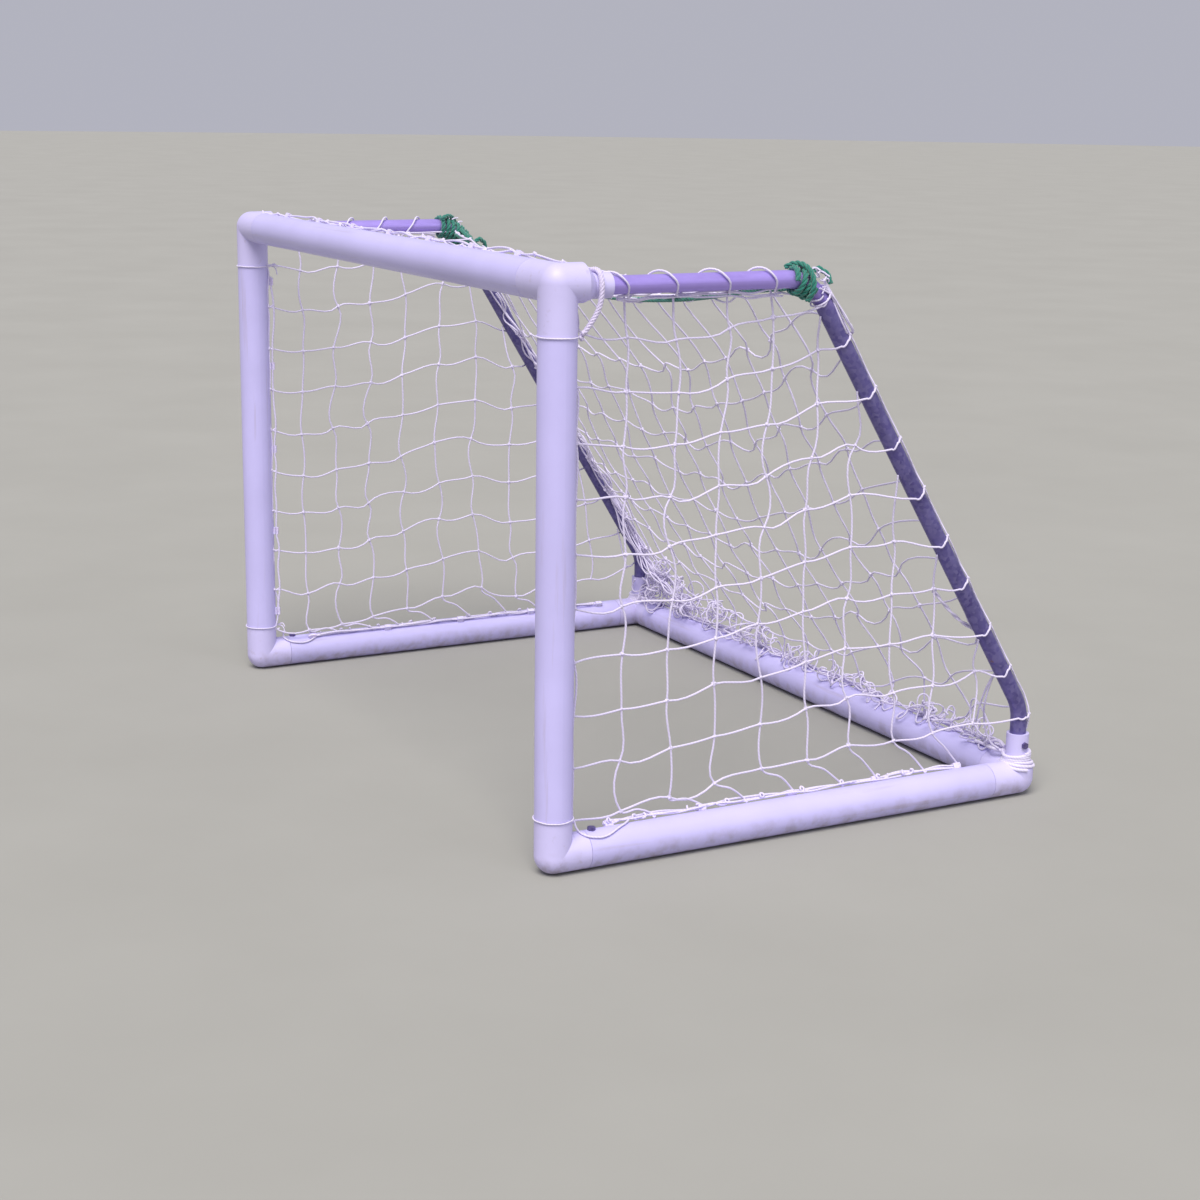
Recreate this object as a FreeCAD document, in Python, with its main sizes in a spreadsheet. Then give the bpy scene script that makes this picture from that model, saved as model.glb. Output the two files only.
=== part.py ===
"""Free-standing mini soccer goal: a push-fit plastic tube frame, two bent steel stanchions, a box net.

Millimetres. X runs across the mouth, Y from the mouth to the rear bar, Z up. The origin is on the
ground, under the middle of the goal. Every size that can be set by itself is a cell of the sheet.
"""
import FreeCAD, Part

import math
import os

import Sketcher

Vector = FreeCAD.Vector
Rotation = FreeCAD.Rotation
Placement = FreeCAD.Placement

os.makedirs("parts", exist_ok=True)
doc = FreeCAD.newDocument("soccer_goal_frame")

# ---------------------------------------------------------------- driving sizes
SIZES = {
    # outside of the frame; the roof is as deep as the stanchions' level top legs
    "goal_width": 1600,
    "goal_height": 1067,
    "goal_depth": 1093,
    "roof_depth": 500,
    # plastic tube, and the moulded corners' cross-shaped plugs that push into it
    "tube_od": 68,
    "tube_wall": 3,
    "plug_length": 60,
    "plug_blade": 10,
    "plug_fit": 0.2,
    "plug_lead": 8,
    "plug_lead_drop": 1.2,
    "joint_gap": 0.8,
    # the corners' arms, from the meeting point of the axes to the shoulder
    "foot_arm_up": 69,
    "foot_arm_back": 62,
    "top_arm_cross": 92,
    "top_arm_down": 88,
    "top_arm_back": 45,
    "rear_arm": 75,
    "rear_neck_rise": 3,
    # bent steel stanchion and the sockets that hold its two ends
    "stanchion_od": 32,
    "stanchion_wall": 2,
    "bend_radius": 96,
    "leg_drop": 6,
    "lower_bend_height": 177,
    "socket_wall": 5.7,
    "socket_clearance": 0.3,
    "cone_length": 17,
    "top_socket_reach": 96,
    "top_socket_depth": 50,
    "rear_rim_rise": 21,
    "rear_socket_depth": 68,
    # fasteners
    "hole_clearance": 0.2,
    "screw_shank": 5,
    "screw_length": 14,
    "screw_head_across": 13,
    "screw_head_height": 6,
    "front_screw_offset": 76,
    "rear_screw_offset": 112,
    "bolt_shank": 6,
    "bolt_head_across": 12,
    "bolt_head_height": 5,
    "bolt_rise": 15.7,
    "bolt_spare": 2.5,
    # net clips and the cord laced through them
    "clip_width": 9,
    "clip_length": 16,
    "clip_wall": 2.5,
    "clip_stem": 4.4,
    "clip_stem_depth": 3.6,
    "clip_pitch": 193,
    "saddle_clearance": 0.05,
    "lacing_od": 4,
    "lacing_height": 6,
    # net twine, ties, lashings and ropes
    "mesh": 100,
    "twine": 3.5,
    "tie_od": 3.5,
    "lashing_turns": 4,
    "heap_od": 54,
    "heap_inset": 150,
    "heap_lean": 15,
    "rope_od": 11,
    "rope_rings": 2,
    "rope_ring_step": 19,
    "rope_ring_start": 18.5,
    "hanger_od": 10,
    "seat_gap": 0.3,
}

sheet = doc.addObject("Spreadsheet::Sheet", "Sizes")
for row, (alias, number) in enumerate(SIZES.items(), start=1):
    sheet.set("A%d" % row, alias)
    sheet.set("B%d" % row, str(number))
    sheet.setAlias("B%d" % row, alias)
doc.recompute()

# ---------------------------------------------------------------- places worked out from them
# Each is a formula that FreeCAD evaluates, so a sub-part follows its cells.
TUBE_RADIUS = "(Sizes.tube_od / 2)"
POST_SPAN = "(Sizes.goal_width - Sizes.tube_od)"
POST_X = f"({POST_SPAN} / 2)"
CROSSBAR_Z = "(Sizes.goal_height - Sizes.tube_od / 2)"
BAR_Z = TUBE_RADIUS
DEPTH = "(Sizes.goal_depth - Sizes.tube_od)"
# the front ties stand out past the tube, so the axes are set to keep the whole box centred
FRONT_Y = f"((Sizes.tie_od + Sizes.seat_gap - {DEPTH}) / 2)"
REAR_Y = f"({FRONT_Y} + {DEPTH})"
LEG_Z = f"({CROSSBAR_Z} - Sizes.leg_drop)"
# the stanchion falls from the end of its level leg to the rear bar
FALL = f"({LEG_Z} - Sizes.lower_bend_height)"
RUN = f"({DEPTH} - Sizes.roof_depth)"
FALL_ANGLE = f"atan({FALL} / {RUN})"
TOP_TANGENT = f"(Sizes.bend_radius * tan({FALL_ANGLE} / 2))"
LOW_TANGENT = f"(Sizes.bend_radius * tan((90deg - {FALL_ANGLE}) / 2))"
LEG_START = "(Sizes.top_socket_reach - Sizes.top_socket_depth)"
SOCKET_BORE = "(Sizes.stanchion_od + 2 * Sizes.socket_clearance)"
SOCKET_OD = f"({SOCKET_BORE} + 2 * Sizes.socket_wall)"
# up the rear corner: the neck's end, the cord lashed round it, the bolt, the socket's rim
REAR_NECK = f"({TUBE_RADIUS} + Sizes.rear_neck_rise - Sizes.cone_length)"
LASHING_FOOT = f"({BAR_Z} + {REAR_NECK} + Sizes.cone_length + Sizes.seat_gap)"
LASHING_HEIGHT = "(Sizes.lashing_turns * Sizes.lacing_od)"
BOLT_Z = f"({LASHING_FOOT} + {LASHING_HEIGHT} + Sizes.bolt_rise)"
RIM_Z = f"({BOLT_Z} + Sizes.rear_rim_rise)"
STANCHION_FOOT = f"({RIM_Z} - Sizes.rear_socket_depth)"
# half of what a plug's blades measure across, so that their corners just clear the tube's bore
PLUG_REACH = f"sqrt(({TUBE_RADIUS} - Sizes.tube_wall - Sizes.plug_fit)^2 - (Sizes.plug_blade / 2)^2)"
# the net hangs just clear of the stanchions, and the clips lean over to meet it
NET_INSET = "(Sizes.stanchion_od / 2 + Sizes.seat_gap + Sizes.twine)"
LACE_RADIUS = f"({TUBE_RADIUS} + Sizes.lacing_height)"
CLIP_LEAN = f"asin({NET_INSET} / {LACE_RADIUS})"
LACE_RISE = f"({LACE_RADIUS} * cos({CLIP_LEAN}))"
LACE_CLEAR = "(Sizes.lacing_od / 2 + Sizes.seat_gap)"
CLIP_CREST = f"({LACE_RADIUS} + {LACE_CLEAR} + Sizes.clip_wall)"
# the net's edge twine runs just past the clips: this far off the bar's axis, and this far across
HALF_CLIP = "Sizes.clip_width / 2"
EDGE_RISE = f"({CLIP_CREST} * cos({CLIP_LEAN}) + {HALF_CLIP} * sin({CLIP_LEAN}) + Sizes.seat_gap)"
EDGE_ACROSS = f"({CLIP_CREST} * sin({CLIP_LEAN}) + {HALF_CLIP} * cos({CLIP_LEAN}) + Sizes.seat_gap)"
# how far the rope's rings lean back from the level leg, round the middle of the upper bend
ROPE_LEAN = f"({FALL_ANGLE} / 2 + (Sizes.rope_ring_start - Sizes.rope_ring_step) * 1deg)"


def value(formula):
    """The present number of a formula."""
    found = sheet.evalExpression(formula)
    return float(getattr(found, "Value", found))


# ---------------------------------------------------------------- small modelling steps
def new_body(label):
    """Start a sub-part as a PartDesign body."""
    body = doc.addObject("PartDesign::Body", label)
    body.Label = label
    return body


def datum(body, role):
    """One of a body's own origin planes or axes."""
    return next(item for item in body.Origin.OriginFeatures if item.Role == role)


def new_sketch(body, name, role, lift=None, spin=None, axis=Vector(0, 0, 1)):
    """A sketch on an origin plane, lifted along its normal or turned about a line of its own."""
    sketch = body.newObject("Sketcher::SketchObject", name)
    sketch.AttachmentSupport = (datum(body, role), "")
    sketch.MapMode = "FlatFace"
    if spin is not None:
        sketch.AttachmentOffset = Placement(Vector(), Rotation(axis, value(spin)))
        sketch.setExpression("AttachmentOffset.Rotation.Angle", spin)
    if lift is not None:
        sketch.setExpression("AttachmentOffset.Base.z", lift)
    return sketch


def dimension(sketch, kind, *where):
    """Add a sized constraint; its formula comes last."""
    formula = where[-1]
    index = sketch.addConstraint(Sketcher.Constraint(kind, *where[:-1], value(formula)))
    sketch.setExpression(f"Constraints[{index}]", formula)


def fix_point(sketch, shape, end, x, y):
    """Hold one point of a sketch line or circle at a place."""
    for kind, place, line in (("DistanceX", x, -2), ("DistanceY", y, -1)):
        if place == "0":
            sketch.addConstraint(Sketcher.Constraint("PointOnObject", shape, end, line))
        else:
            dimension(sketch, kind, -1, 1, shape, end, place)


def draw_circle(sketch, diameter, x="0", y="0"):
    """A circle of a set diameter about a set centre."""
    centre = Vector(value(x), value(y), 0)
    ring = sketch.addGeometry(Part.Circle(centre, Vector(0, 0, 1), value(diameter) / 2), False)
    dimension(sketch, "Diameter", ring, diameter)
    fix_point(sketch, ring, 3, x, y)


def draw_outline(sketch, corners):
    """A closed outline of straight sides through corners, each a pair of formulas."""
    points = [Vector(value(x), value(y), 0) for x, y in corners]
    sides = []
    for start, end in zip(points, points[1:] + points[:1]):
        sides.append(sketch.addGeometry(Part.LineSegment(start, end), False))
    for side, following in zip(sides, sides[1:] + sides[:1]):
        sketch.addConstraint(Sketcher.Constraint("Coincident", side, 2, following, 1))
    for side, (x, y) in zip(sides, corners):
        fix_point(sketch, side, 1, x, y)


def sketch_line(sketch, start, end, helper=False):
    """A straight sketch line, or a construction line."""
    return sketch.addGeometry(Part.LineSegment(start, end), helper)


def pad(body, sketch, length, reverse=False, centred=False):
    """Pad a sketch along its plane's normal, against it, or to both sides."""
    feature = body.newObject("PartDesign::Pad", sketch.Name + "_pad")
    feature.Profile = sketch
    feature.Reversed = reverse
    feature.Midplane = centred
    feature.setExpression("Length", length)
    return feature


def pocket(body, sketch, length, reverse=False, centred=False):
    """Cut a sketch into the solid, against its plane's normal unless reversed."""
    feature = body.newObject("PartDesign::Pocket", sketch.Name + "_cut")
    feature.Profile = sketch
    feature.Reversed = reverse
    feature.Midplane = centred
    feature.setExpression("Length", length)
    return feature


def repeat_along(body, features, role, length, count):
    """Repeat features in a row along one of the body's axes."""
    pattern = body.newObject("PartDesign::LinearPattern", features[0].Name + "_row")
    pattern.Originals = features
    pattern.Direction = (datum(body, role), [""])
    pattern.setExpression("Length", length)
    pattern.setExpression("Occurrences", count)
    body.Tip = pattern


def repeat_round(body, features, role, angle, count):
    """Repeat features round one of the body's axes."""
    pattern = body.newObject("PartDesign::PolarPattern", features[0].Name + "_ring")
    pattern.Originals = features
    pattern.Axis = (datum(body, role), [""])
    pattern.setExpression("Angle", angle)
    pattern.setExpression("Occurrences", count)
    body.Tip = pattern


def put(thing, x="0", y="0", z="0", rotation=None):
    """Place a sub-part; its place follows the sheet."""
    if rotation is not None:
        thing.Placement = Placement(Vector(), rotation)
    for axis, formula in zip("xyz", (x, y, z)):
        thing.setExpression("Placement.Base." + axis, formula)
    return thing


def group(label, members):
    """Several like solids, handed over as one sub-part."""
    together = doc.addObject("Part::Compound", label)
    together.Label = label
    together.Links = members
    return together


def primitive(kind, name, **sizes):
    """A Part primitive whose sizes follow the sheet."""
    solid = doc.addObject("Part::" + kind, name)
    for prop, formula in sizes.items():
        solid.setExpression(prop, formula)
    return solid


def fused(name, members):
    """Join overlapping primitives into one solid."""
    whole = doc.addObject("Part::MultiFuse", name)
    whole.Shapes = members
    return whole


# ---------------------------------------------------------------- how the members lie
# A bar is built upright with its net side on +Y. Laid down, that side is on top.
STANDING = Rotation()
ALONG_X = Rotation(Vector(0, 1, 0), Vector(0, 0, 1), Vector(1, 0, 0), "ZXY")
ALONG_Y = Rotation(Vector(-1, 0, 0), Vector(0, 0, 1), Vector(0, 1, 0), "ZXY")

SIDES = {"left": -1, "right": 1}
BARS = {
    "crossbar": dict(
        start=(f"Sizes.top_arm_cross - {POST_X}", FRONT_Y, CROSSBAR_Z), lie=ALONG_X, lean=1,
        length=f"({POST_SPAN} - 2 * Sizes.top_arm_cross)", screws=[],
    ),
    "rear_ground_bar": dict(
        start=(f"Sizes.rear_arm - {POST_X}", REAR_Y, BAR_Z), lie=ALONG_X, lean=1,
        length=f"({POST_SPAN} - 2 * Sizes.rear_arm)",
        screws=["Sizes.rear_screw_offset - Sizes.rear_arm",
                f"{POST_SPAN} - Sizes.rear_screw_offset - Sizes.rear_arm"],
    ),
}
for side, sign in SIDES.items():
    BARS[side + "_upright"] = dict(
        start=(f"{sign} * {POST_X}", FRONT_Y, f"{BAR_Z} + Sizes.foot_arm_up"), lie=STANDING, lean=-sign,
        length=f"({CROSSBAR_Z} - {BAR_Z} - Sizes.foot_arm_up - Sizes.top_arm_down)", screws=[],
    )
    BARS[side + "_ground_bar"] = dict(
        start=(f"{sign} * {POST_X}", f"{FRONT_Y} + Sizes.foot_arm_back", BAR_Z), lie=ALONG_Y, lean=sign,
        length=f"({DEPTH} - Sizes.foot_arm_back - Sizes.rear_arm)",
        screws=["Sizes.front_screw_offset - Sizes.foot_arm_back"],
    )

for bar in BARS.values():
    bar["tilt"] = f"{-bar['lean']} * {CLIP_LEAN}"
    bar["clips"] = f"(floor(({bar['length']} - 2 * Sizes.clip_length) / Sizes.clip_pitch) + 1)"
    bar["clip_row"] = f"(({bar['clips']} - 1) * Sizes.clip_pitch)"
    bar["first_clip"] = f"(({bar['length']} - {bar['clip_row']}) / 2)"


# ---------------------------------------------------------------- plastic tubes and what they carry
def make_bar(label, bar):
    """A cut length of plastic tube, punched for its net clips and drilled for its screws."""
    body = new_body(label)
    section = new_sketch(body, label + "_section", "XY_Plane")
    draw_circle(section, "Sizes.tube_od")
    draw_circle(section, "Sizes.tube_od - 2 * Sizes.tube_wall")
    pad(body, section, bar["length"])
    half_hole = "(Sizes.clip_stem / 2 + Sizes.hole_clearance)"
    clip_hole = new_sketch(body, label + "_clip_hole", "XZ_Plane", spin=bar["tilt"], axis=Vector(0, 1, 0))
    draw_outline(clip_hole, [
        (f"-{half_hole}", f"{bar['first_clip']} - {half_hole}"),
        (half_hole, f"{bar['first_clip']} - {half_hole}"),
        (half_hole, f"{bar['first_clip']} + {half_hole}"),
        (f"-{half_hole}", f"{bar['first_clip']} + {half_hole}"),
    ])
    punched = pocket(body, clip_hole, "Sizes.tube_od")
    repeat_along(body, [punched], "Z_Axis", bar["clip_row"], bar["clips"])
    for number, along in enumerate(bar["screws"], start=1):
        screw_hole = new_sketch(body, f"{label}_screw_hole_{number}", "XZ_Plane")
        draw_circle(screw_hole, "Sizes.screw_shank + 2 * Sizes.hole_clearance", y=along)
        pocket(body, screw_hole, "Sizes.tube_od")
    return put(body, *bar["start"], rotation=bar["lie"])


def make_clips(label, bar):
    """The bar's net clips: a saddle on the tube, a square stem in its hole, a jaw round the lacing."""
    body = new_body(label)
    half = "Sizes.clip_width / 2"
    root = f"{TUBE_RADIUS} - Sizes.tube_wall"
    floor = f"{LACE_RADIUS} - {LACE_CLEAR}"
    ceiling = f"{LACE_RADIUS} + {LACE_CLEAR}"
    jaw = new_sketch(body, label + "_jaw", "XY_Plane", spin=bar["tilt"], lift=bar["first_clip"])
    draw_outline(jaw, [
        (f"-{half}", root),
        (half, root),
        (half, floor),
        (f"-{LACE_CLEAR}", floor),
        (f"-{LACE_CLEAR}", ceiling),
        (half, ceiling),
        (half, CLIP_CREST),
        (f"-{half}", CLIP_CREST),
    ])
    jaw_block = pad(body, jaw, "Sizes.clip_length", centred=True)
    saddle = new_sketch(body, label + "_saddle", "XY_Plane", lift=bar["first_clip"])
    draw_circle(saddle, "Sizes.tube_od + 2 * Sizes.saddle_clearance")
    saddle_cut = pocket(body, saddle, "2 * Sizes.clip_length", centred=True)
    stem = new_sketch(body, label + "_stem", "XY_Plane", spin=bar["tilt"], lift=bar["first_clip"])
    draw_outline(stem, [
        ("-Sizes.clip_stem / 2", f"{TUBE_RADIUS} - Sizes.clip_stem_depth"),
        ("Sizes.clip_stem / 2", f"{TUBE_RADIUS} - Sizes.clip_stem_depth"),
        ("Sizes.clip_stem / 2", floor),
        ("-Sizes.clip_stem / 2", floor),
    ])
    stem_peg = pad(body, stem, "Sizes.clip_stem", centred=True)
    repeat_along(body, [jaw_block, saddle_cut, stem_peg], "Z_Axis", bar["clip_row"], bar["clips"])
    return put(body, *bar["start"], rotation=bar["lie"])


def make_lacing(label, bar):
    """The cord laced through the bar's clips, as long as the tube."""
    body = new_body(label)
    section = new_sketch(body, label + "_section", "XY_Plane", spin=bar["tilt"])
    draw_circle(section, "Sizes.lacing_od", y=LACE_RADIUS)
    pad(body, section, bar["length"])
    return put(body, *bar["start"], rotation=bar["lie"])


# ---------------------------------------------------------------- moulded corners
# The plane an arm's sections lie on, whether it runs against the plane's normal, and its lifts' sign.
ARMS = {
    "up": ("XY_Plane", False, "1"),
    "down": ("XY_Plane", True, "-1"),
    "front": ("XZ_Plane", False, "1"),
    "back": ("XZ_Plane", True, "-1"),
    "right": ("YZ_Plane", False, "1"),
    "left": ("YZ_Plane", True, "-1"),
}
INWARD = {"left": "right", "right": "left"}


def draw_cross(sketch, reach):
    """The outline of two crossed blades that reach this far from the middle."""
    half = "Sizes.plug_blade / 2"
    corners = []
    for x, y in ((1, 1), (-1, 1), (-1, -1), (1, -1)):
        beside = (f"{x} * {half}", f"{y} * {reach}")
        inner = (f"{x} * {half}", f"{y} * {half}")
        above = (f"{x} * {reach}", f"{y} * {half}")
        corners += [above, inner, beside] if x == y else [beside, inner, above]
    draw_outline(sketch, corners)


def add_arm(body, way, reach):
    """An arm as thick as the tube, and the cross-shaped plug, slimmer at its tip, that pushes into it."""
    plane, against, _ = ARMS[way]
    name = f"{body.Name}_{way}"
    sleeve = new_sketch(body, name + "_arm", plane)
    draw_circle(sleeve, "Sizes.tube_od")
    pad(body, sleeve, f"{reach} - Sizes.joint_gap", reverse=against)
    plug = new_sketch(body, name + "_plug", plane)
    draw_cross(plug, PLUG_REACH)
    pad(body, plug, f"{reach} + Sizes.plug_length - Sizes.plug_lead", reverse=against)
    lead = new_sketch(body, name + "_plug_lead", plane)
    draw_cross(lead, f"({PLUG_REACH} - Sizes.plug_lead_drop)")
    pad(body, lead, f"{reach} + Sizes.plug_length", reverse=against)


def add_socket(body, way, shoulder, reach, depth, drop="0"):
    """A short arm that cones down to a collar, bored for the stanchion's end."""
    plane, against, sign = ARMS[way]
    name = f"{body.Name}_{way}"
    sleeve = new_sketch(body, name + "_arm", plane)
    draw_circle(sleeve, "Sizes.tube_od")
    pad(body, sleeve, shoulder, reverse=against)
    base = new_sketch(body, name + "_cone_base", plane, lift=f"{sign} * {shoulder}")
    draw_circle(base, "Sizes.tube_od")
    tip = new_sketch(body, name + "_cone_tip", plane, lift=f"{sign} * ({shoulder} + Sizes.cone_length)")
    draw_circle(tip, SOCKET_OD, y=drop)
    cone = body.newObject("PartDesign::AdditiveLoft", name + "_cone")
    cone.Profile = base
    cone.Sections = [tip]
    collar = new_sketch(body, name + "_collar", plane, lift=f"{sign} * {shoulder}")
    draw_circle(collar, SOCKET_OD, y=drop)
    pad(body, collar, f"{reach} - {shoulder}", reverse=against)
    bore = new_sketch(body, name + "_bore", plane, lift=f"{sign} * {reach}")
    draw_circle(bore, SOCKET_BORE, y=drop)
    pocket(body, bore, depth, reverse=against)


def add_ball(body):
    """The rounded outside of a corner, where its arms meet."""
    ball = body.newObject("PartDesign::AdditiveSphere", body.Name + "_ball")
    ball.setExpression("Radius", TUBE_RADIUS)


def drill_plug(body, x, y):
    """A screw's pilot hole down into the upright blade of a plug."""
    hole = new_sketch(body, body.Name + "_pilot", "XY_Plane")
    draw_circle(hole, "Sizes.screw_shank + 2 * Sizes.hole_clearance", x=x, y=y)
    pocket(body, hole, TUBE_RADIUS, reverse=True)


def make_top_corner(side):
    """Three-way corner: down to the upright, across to the crossbar, back to the stanchion's leg."""
    body = new_body(f"top_corner_{side}")
    add_ball(body)
    add_arm(body, "down", "Sizes.top_arm_down")
    add_arm(body, INWARD[side], "Sizes.top_arm_cross")
    add_socket(body, "back", "Sizes.top_arm_back", "Sizes.top_socket_reach", "Sizes.top_socket_depth",
               drop="-Sizes.leg_drop")
    return put(body, f"{SIDES[side]} * {POST_X}", FRONT_Y, CROSSBAR_Z)


def make_foot_corner(side):
    """Two-way elbow on the ground: up to the upright, back to the side bar."""
    body = new_body(f"front_foot_corner_{side}")
    add_ball(body)
    add_arm(body, "up", "Sizes.foot_arm_up")
    add_arm(body, "back", "Sizes.foot_arm_back")
    drill_plug(body, "0", "Sizes.front_screw_offset")
    return put(body, f"{SIDES[side]} * {POST_X}", FRONT_Y, BAR_Z)


def make_rear_corner(side):
    """Three-way corner on the ground: forward to the side bar, across, and up to the stanchion."""
    body = new_body(f"rear_corner_{side}")
    add_ball(body)
    add_arm(body, "front", "Sizes.rear_arm")
    add_arm(body, INWARD[side], "Sizes.rear_arm")
    add_socket(body, "up", REAR_NECK, f"({RIM_Z} - {BAR_Z})", "Sizes.rear_socket_depth")
    drill_plug(body, f"{-SIDES[side]} * Sizes.rear_screw_offset", "0")
    bolt_hole = new_sketch(body, body.Name + "_bolt_hole", "YZ_Plane")
    draw_circle(bolt_hole, "Sizes.bolt_shank + 2 * Sizes.hole_clearance", y=f"{BOLT_Z} - {BAR_Z}")
    pocket(body, bolt_hole, f"2 * {SOCKET_OD}", centred=True)
    return put(body, f"{SIDES[side]} * {POST_X}", REAR_Y, BAR_Z)


# ---------------------------------------------------------------- bent stanchions
def make_stanchion(side):
    """A steel tube bent twice: a level top leg, a straight fall, and a short upright foot."""
    body = new_body(f"{side}_stanchion")
    spine = new_sketch(body, body.Name + "_spine", "YZ_Plane")
    angle = math.radians(value(FALL_ANGLE))
    along = Vector(math.cos(angle), -math.sin(angle), 0)
    level = Vector(1, 0, 0)
    down = Vector(0, -1, 0)
    upper = Vector(value("Sizes.roof_depth"), value(LEG_Z), 0)
    lower = Vector(value(DEPTH), value("Sizes.lower_bend_height"), 0)
    radius = value("Sizes.bend_radius")
    top_tangent = value(TOP_TANGENT)
    low_tangent = value(LOW_TANGENT)
    start = Vector(value(LEG_START), upper.y, 0)
    foot = Vector(lower.x, value(STANCHION_FOOT), 0)
    top_in = upper - level * top_tangent
    top_out = upper + along * top_tangent
    low_in = lower - along * low_tangent
    low_out = lower + down * low_tangent
    top_centre = top_in + down * radius
    low_centre = low_out - level * radius
    top_middle = top_centre + (upper - top_centre).normalize() * radius
    low_middle = low_centre + (lower - low_centre).normalize() * radius
    leg = sketch_line(spine, start, top_in)
    top_bend = spine.addGeometry(Part.Arc(top_in, top_middle, top_out), False)
    fall = sketch_line(spine, top_out, low_in)
    low_bend = spine.addGeometry(Part.Arc(low_in, low_middle, low_out), False)
    shin = sketch_line(spine, low_out, foot)
    guide = sketch_line(spine, upper, lower, helper=True)
    # a clockwise arc is stored the other way round, so its own end is where the tube enters it
    for first, first_end, second, second_end in (
        (leg, 2, top_bend, 2), (top_bend, 1, fall, 1), (fall, 2, low_bend, 2), (low_bend, 1, shin, 1),
    ):
        spine.addConstraint(Sketcher.Constraint("Tangent", first, first_end, second, second_end))
    spine.addConstraint(Sketcher.Constraint("Horizontal", leg))
    spine.addConstraint(Sketcher.Constraint("Vertical", shin))
    spine.addConstraint(Sketcher.Constraint("PointOnObject", fall, 1, guide))
    spine.addConstraint(Sketcher.Constraint("PointOnObject", fall, 2, guide))
    dimension(spine, "Radius", top_bend, "Sizes.bend_radius")
    dimension(spine, "Radius", low_bend, "Sizes.bend_radius")
    fix_point(spine, leg, 1, LEG_START, LEG_Z)
    fix_point(spine, shin, 2, DEPTH, STANCHION_FOOT)
    fix_point(spine, guide, 1, "Sizes.roof_depth", LEG_Z)
    fix_point(spine, guide, 2, DEPTH, "Sizes.lower_bend_height")
    section = new_sketch(body, body.Name + "_section", "XZ_Plane", lift=f"-{LEG_START}")
    draw_circle(section, "Sizes.stanchion_od", y=LEG_Z)
    draw_circle(section, "Sizes.stanchion_od - 2 * Sizes.stanchion_wall", y=LEG_Z)
    pipe = body.newObject("PartDesign::AdditivePipe", body.Name + "_tube")
    pipe.Profile = section
    pipe.Spine = (spine, [])
    bolt_hole = new_sketch(body, body.Name + "_bolt_hole", "YZ_Plane")
    draw_circle(bolt_hole, "Sizes.bolt_shank + 2 * Sizes.hole_clearance", x=DEPTH, y=BOLT_Z)
    pocket(body, bolt_hole, "2 * Sizes.stanchion_od", centred=True)
    return put(body, f"{SIDES[side]} * {POST_X}", FRONT_Y, "0")


# ---------------------------------------------------------------- screws, bolts and nuts
def make_headed(name, across, head_height, shank, length):
    """A hex head standing on its seat, and a round shank down from it."""
    head = primitive("Prism", name + "_head", Circumradius=f"{across} / sqrt(3)", Height=head_height)
    into_head = f"{length} + {head_height} / 2"
    stem = primitive("Cylinder", name + "_shank", Radius=f"{shank} / 2", Height=into_head)
    stem.setExpression("Placement.Base.z", f"-{length}")
    return fused(name, [head, stem])


def make_nut(name):
    """A hex nut, bored a little wider than its bolt."""
    block = primitive("Prism", name + "_block", Circumradius="Sizes.bolt_head_across / sqrt(3)",
                      Height="Sizes.bolt_head_height")
    hole = primitive("Cylinder", name + "_hole", Radius="(Sizes.bolt_shank + Sizes.hole_clearance) / 2",
                     Height="Sizes.bolt_head_height")
    nut = doc.addObject("Part::Cut", name)
    nut.Base = block
    nut.Tool = hole
    return nut


def make_fasteners():
    """The screws down into the four ground joints, and a bolt and nut through each stanchion's foot."""
    screws = []
    bolts = []
    nuts = []
    screw = ("Sizes.screw_head_across", "Sizes.screw_head_height", "Sizes.screw_shank", "Sizes.screw_length")
    bolt_length = f"({SOCKET_OD} + Sizes.bolt_head_height + Sizes.bolt_spare)"
    bolt = ("Sizes.bolt_head_across", "Sizes.bolt_head_height", "Sizes.bolt_shank", bolt_length)
    lying = Rotation(Vector(0, 1, 0), 90)
    for side, sign in SIDES.items():
        post_x = f"{sign} * {POST_X}"
        inner_x = f"{sign} * ({POST_X} - Sizes.rear_screw_offset)"
        front = make_headed(f"{side}_bar_screw", *screw)
        rear = make_headed(f"{side}_rear_bar_screw", *screw)
        screws.append(put(front, post_x, f"{FRONT_Y} + Sizes.front_screw_offset", "Sizes.tube_od"))
        screws.append(put(rear, inner_x, REAR_Y, "Sizes.tube_od"))
        headed = make_headed(f"{side}_foot_bolt", *bolt)
        bolts.append(put(headed, f"{post_x} + {SOCKET_OD} / 2", REAR_Y, BOLT_Z, rotation=lying))
        nut_x = f"{post_x} - {SOCKET_OD} / 2 - Sizes.bolt_head_height"
        nuts.append(put(make_nut(f"{side}_foot_nut"), nut_x, REAR_Y, BOLT_Z, rotation=lying))
    return [
        group("ground_bar_screws", screws),
        group("stanchion_foot_bolts", bolts),
        group("stanchion_foot_nuts", nuts),
    ]


# ---------------------------------------------------------------- ties and lashings
def make_ring(name, inner, outer, height):
    """Turns of cord round an upright tube, kept plain as one flat ring."""
    body = doc.addObject("PartDesign::Body", name)
    section = new_sketch(body, name + "_section", "XY_Plane")
    draw_circle(section, inner)
    draw_circle(section, outer)
    pad(body, section, height)
    return body


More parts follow.
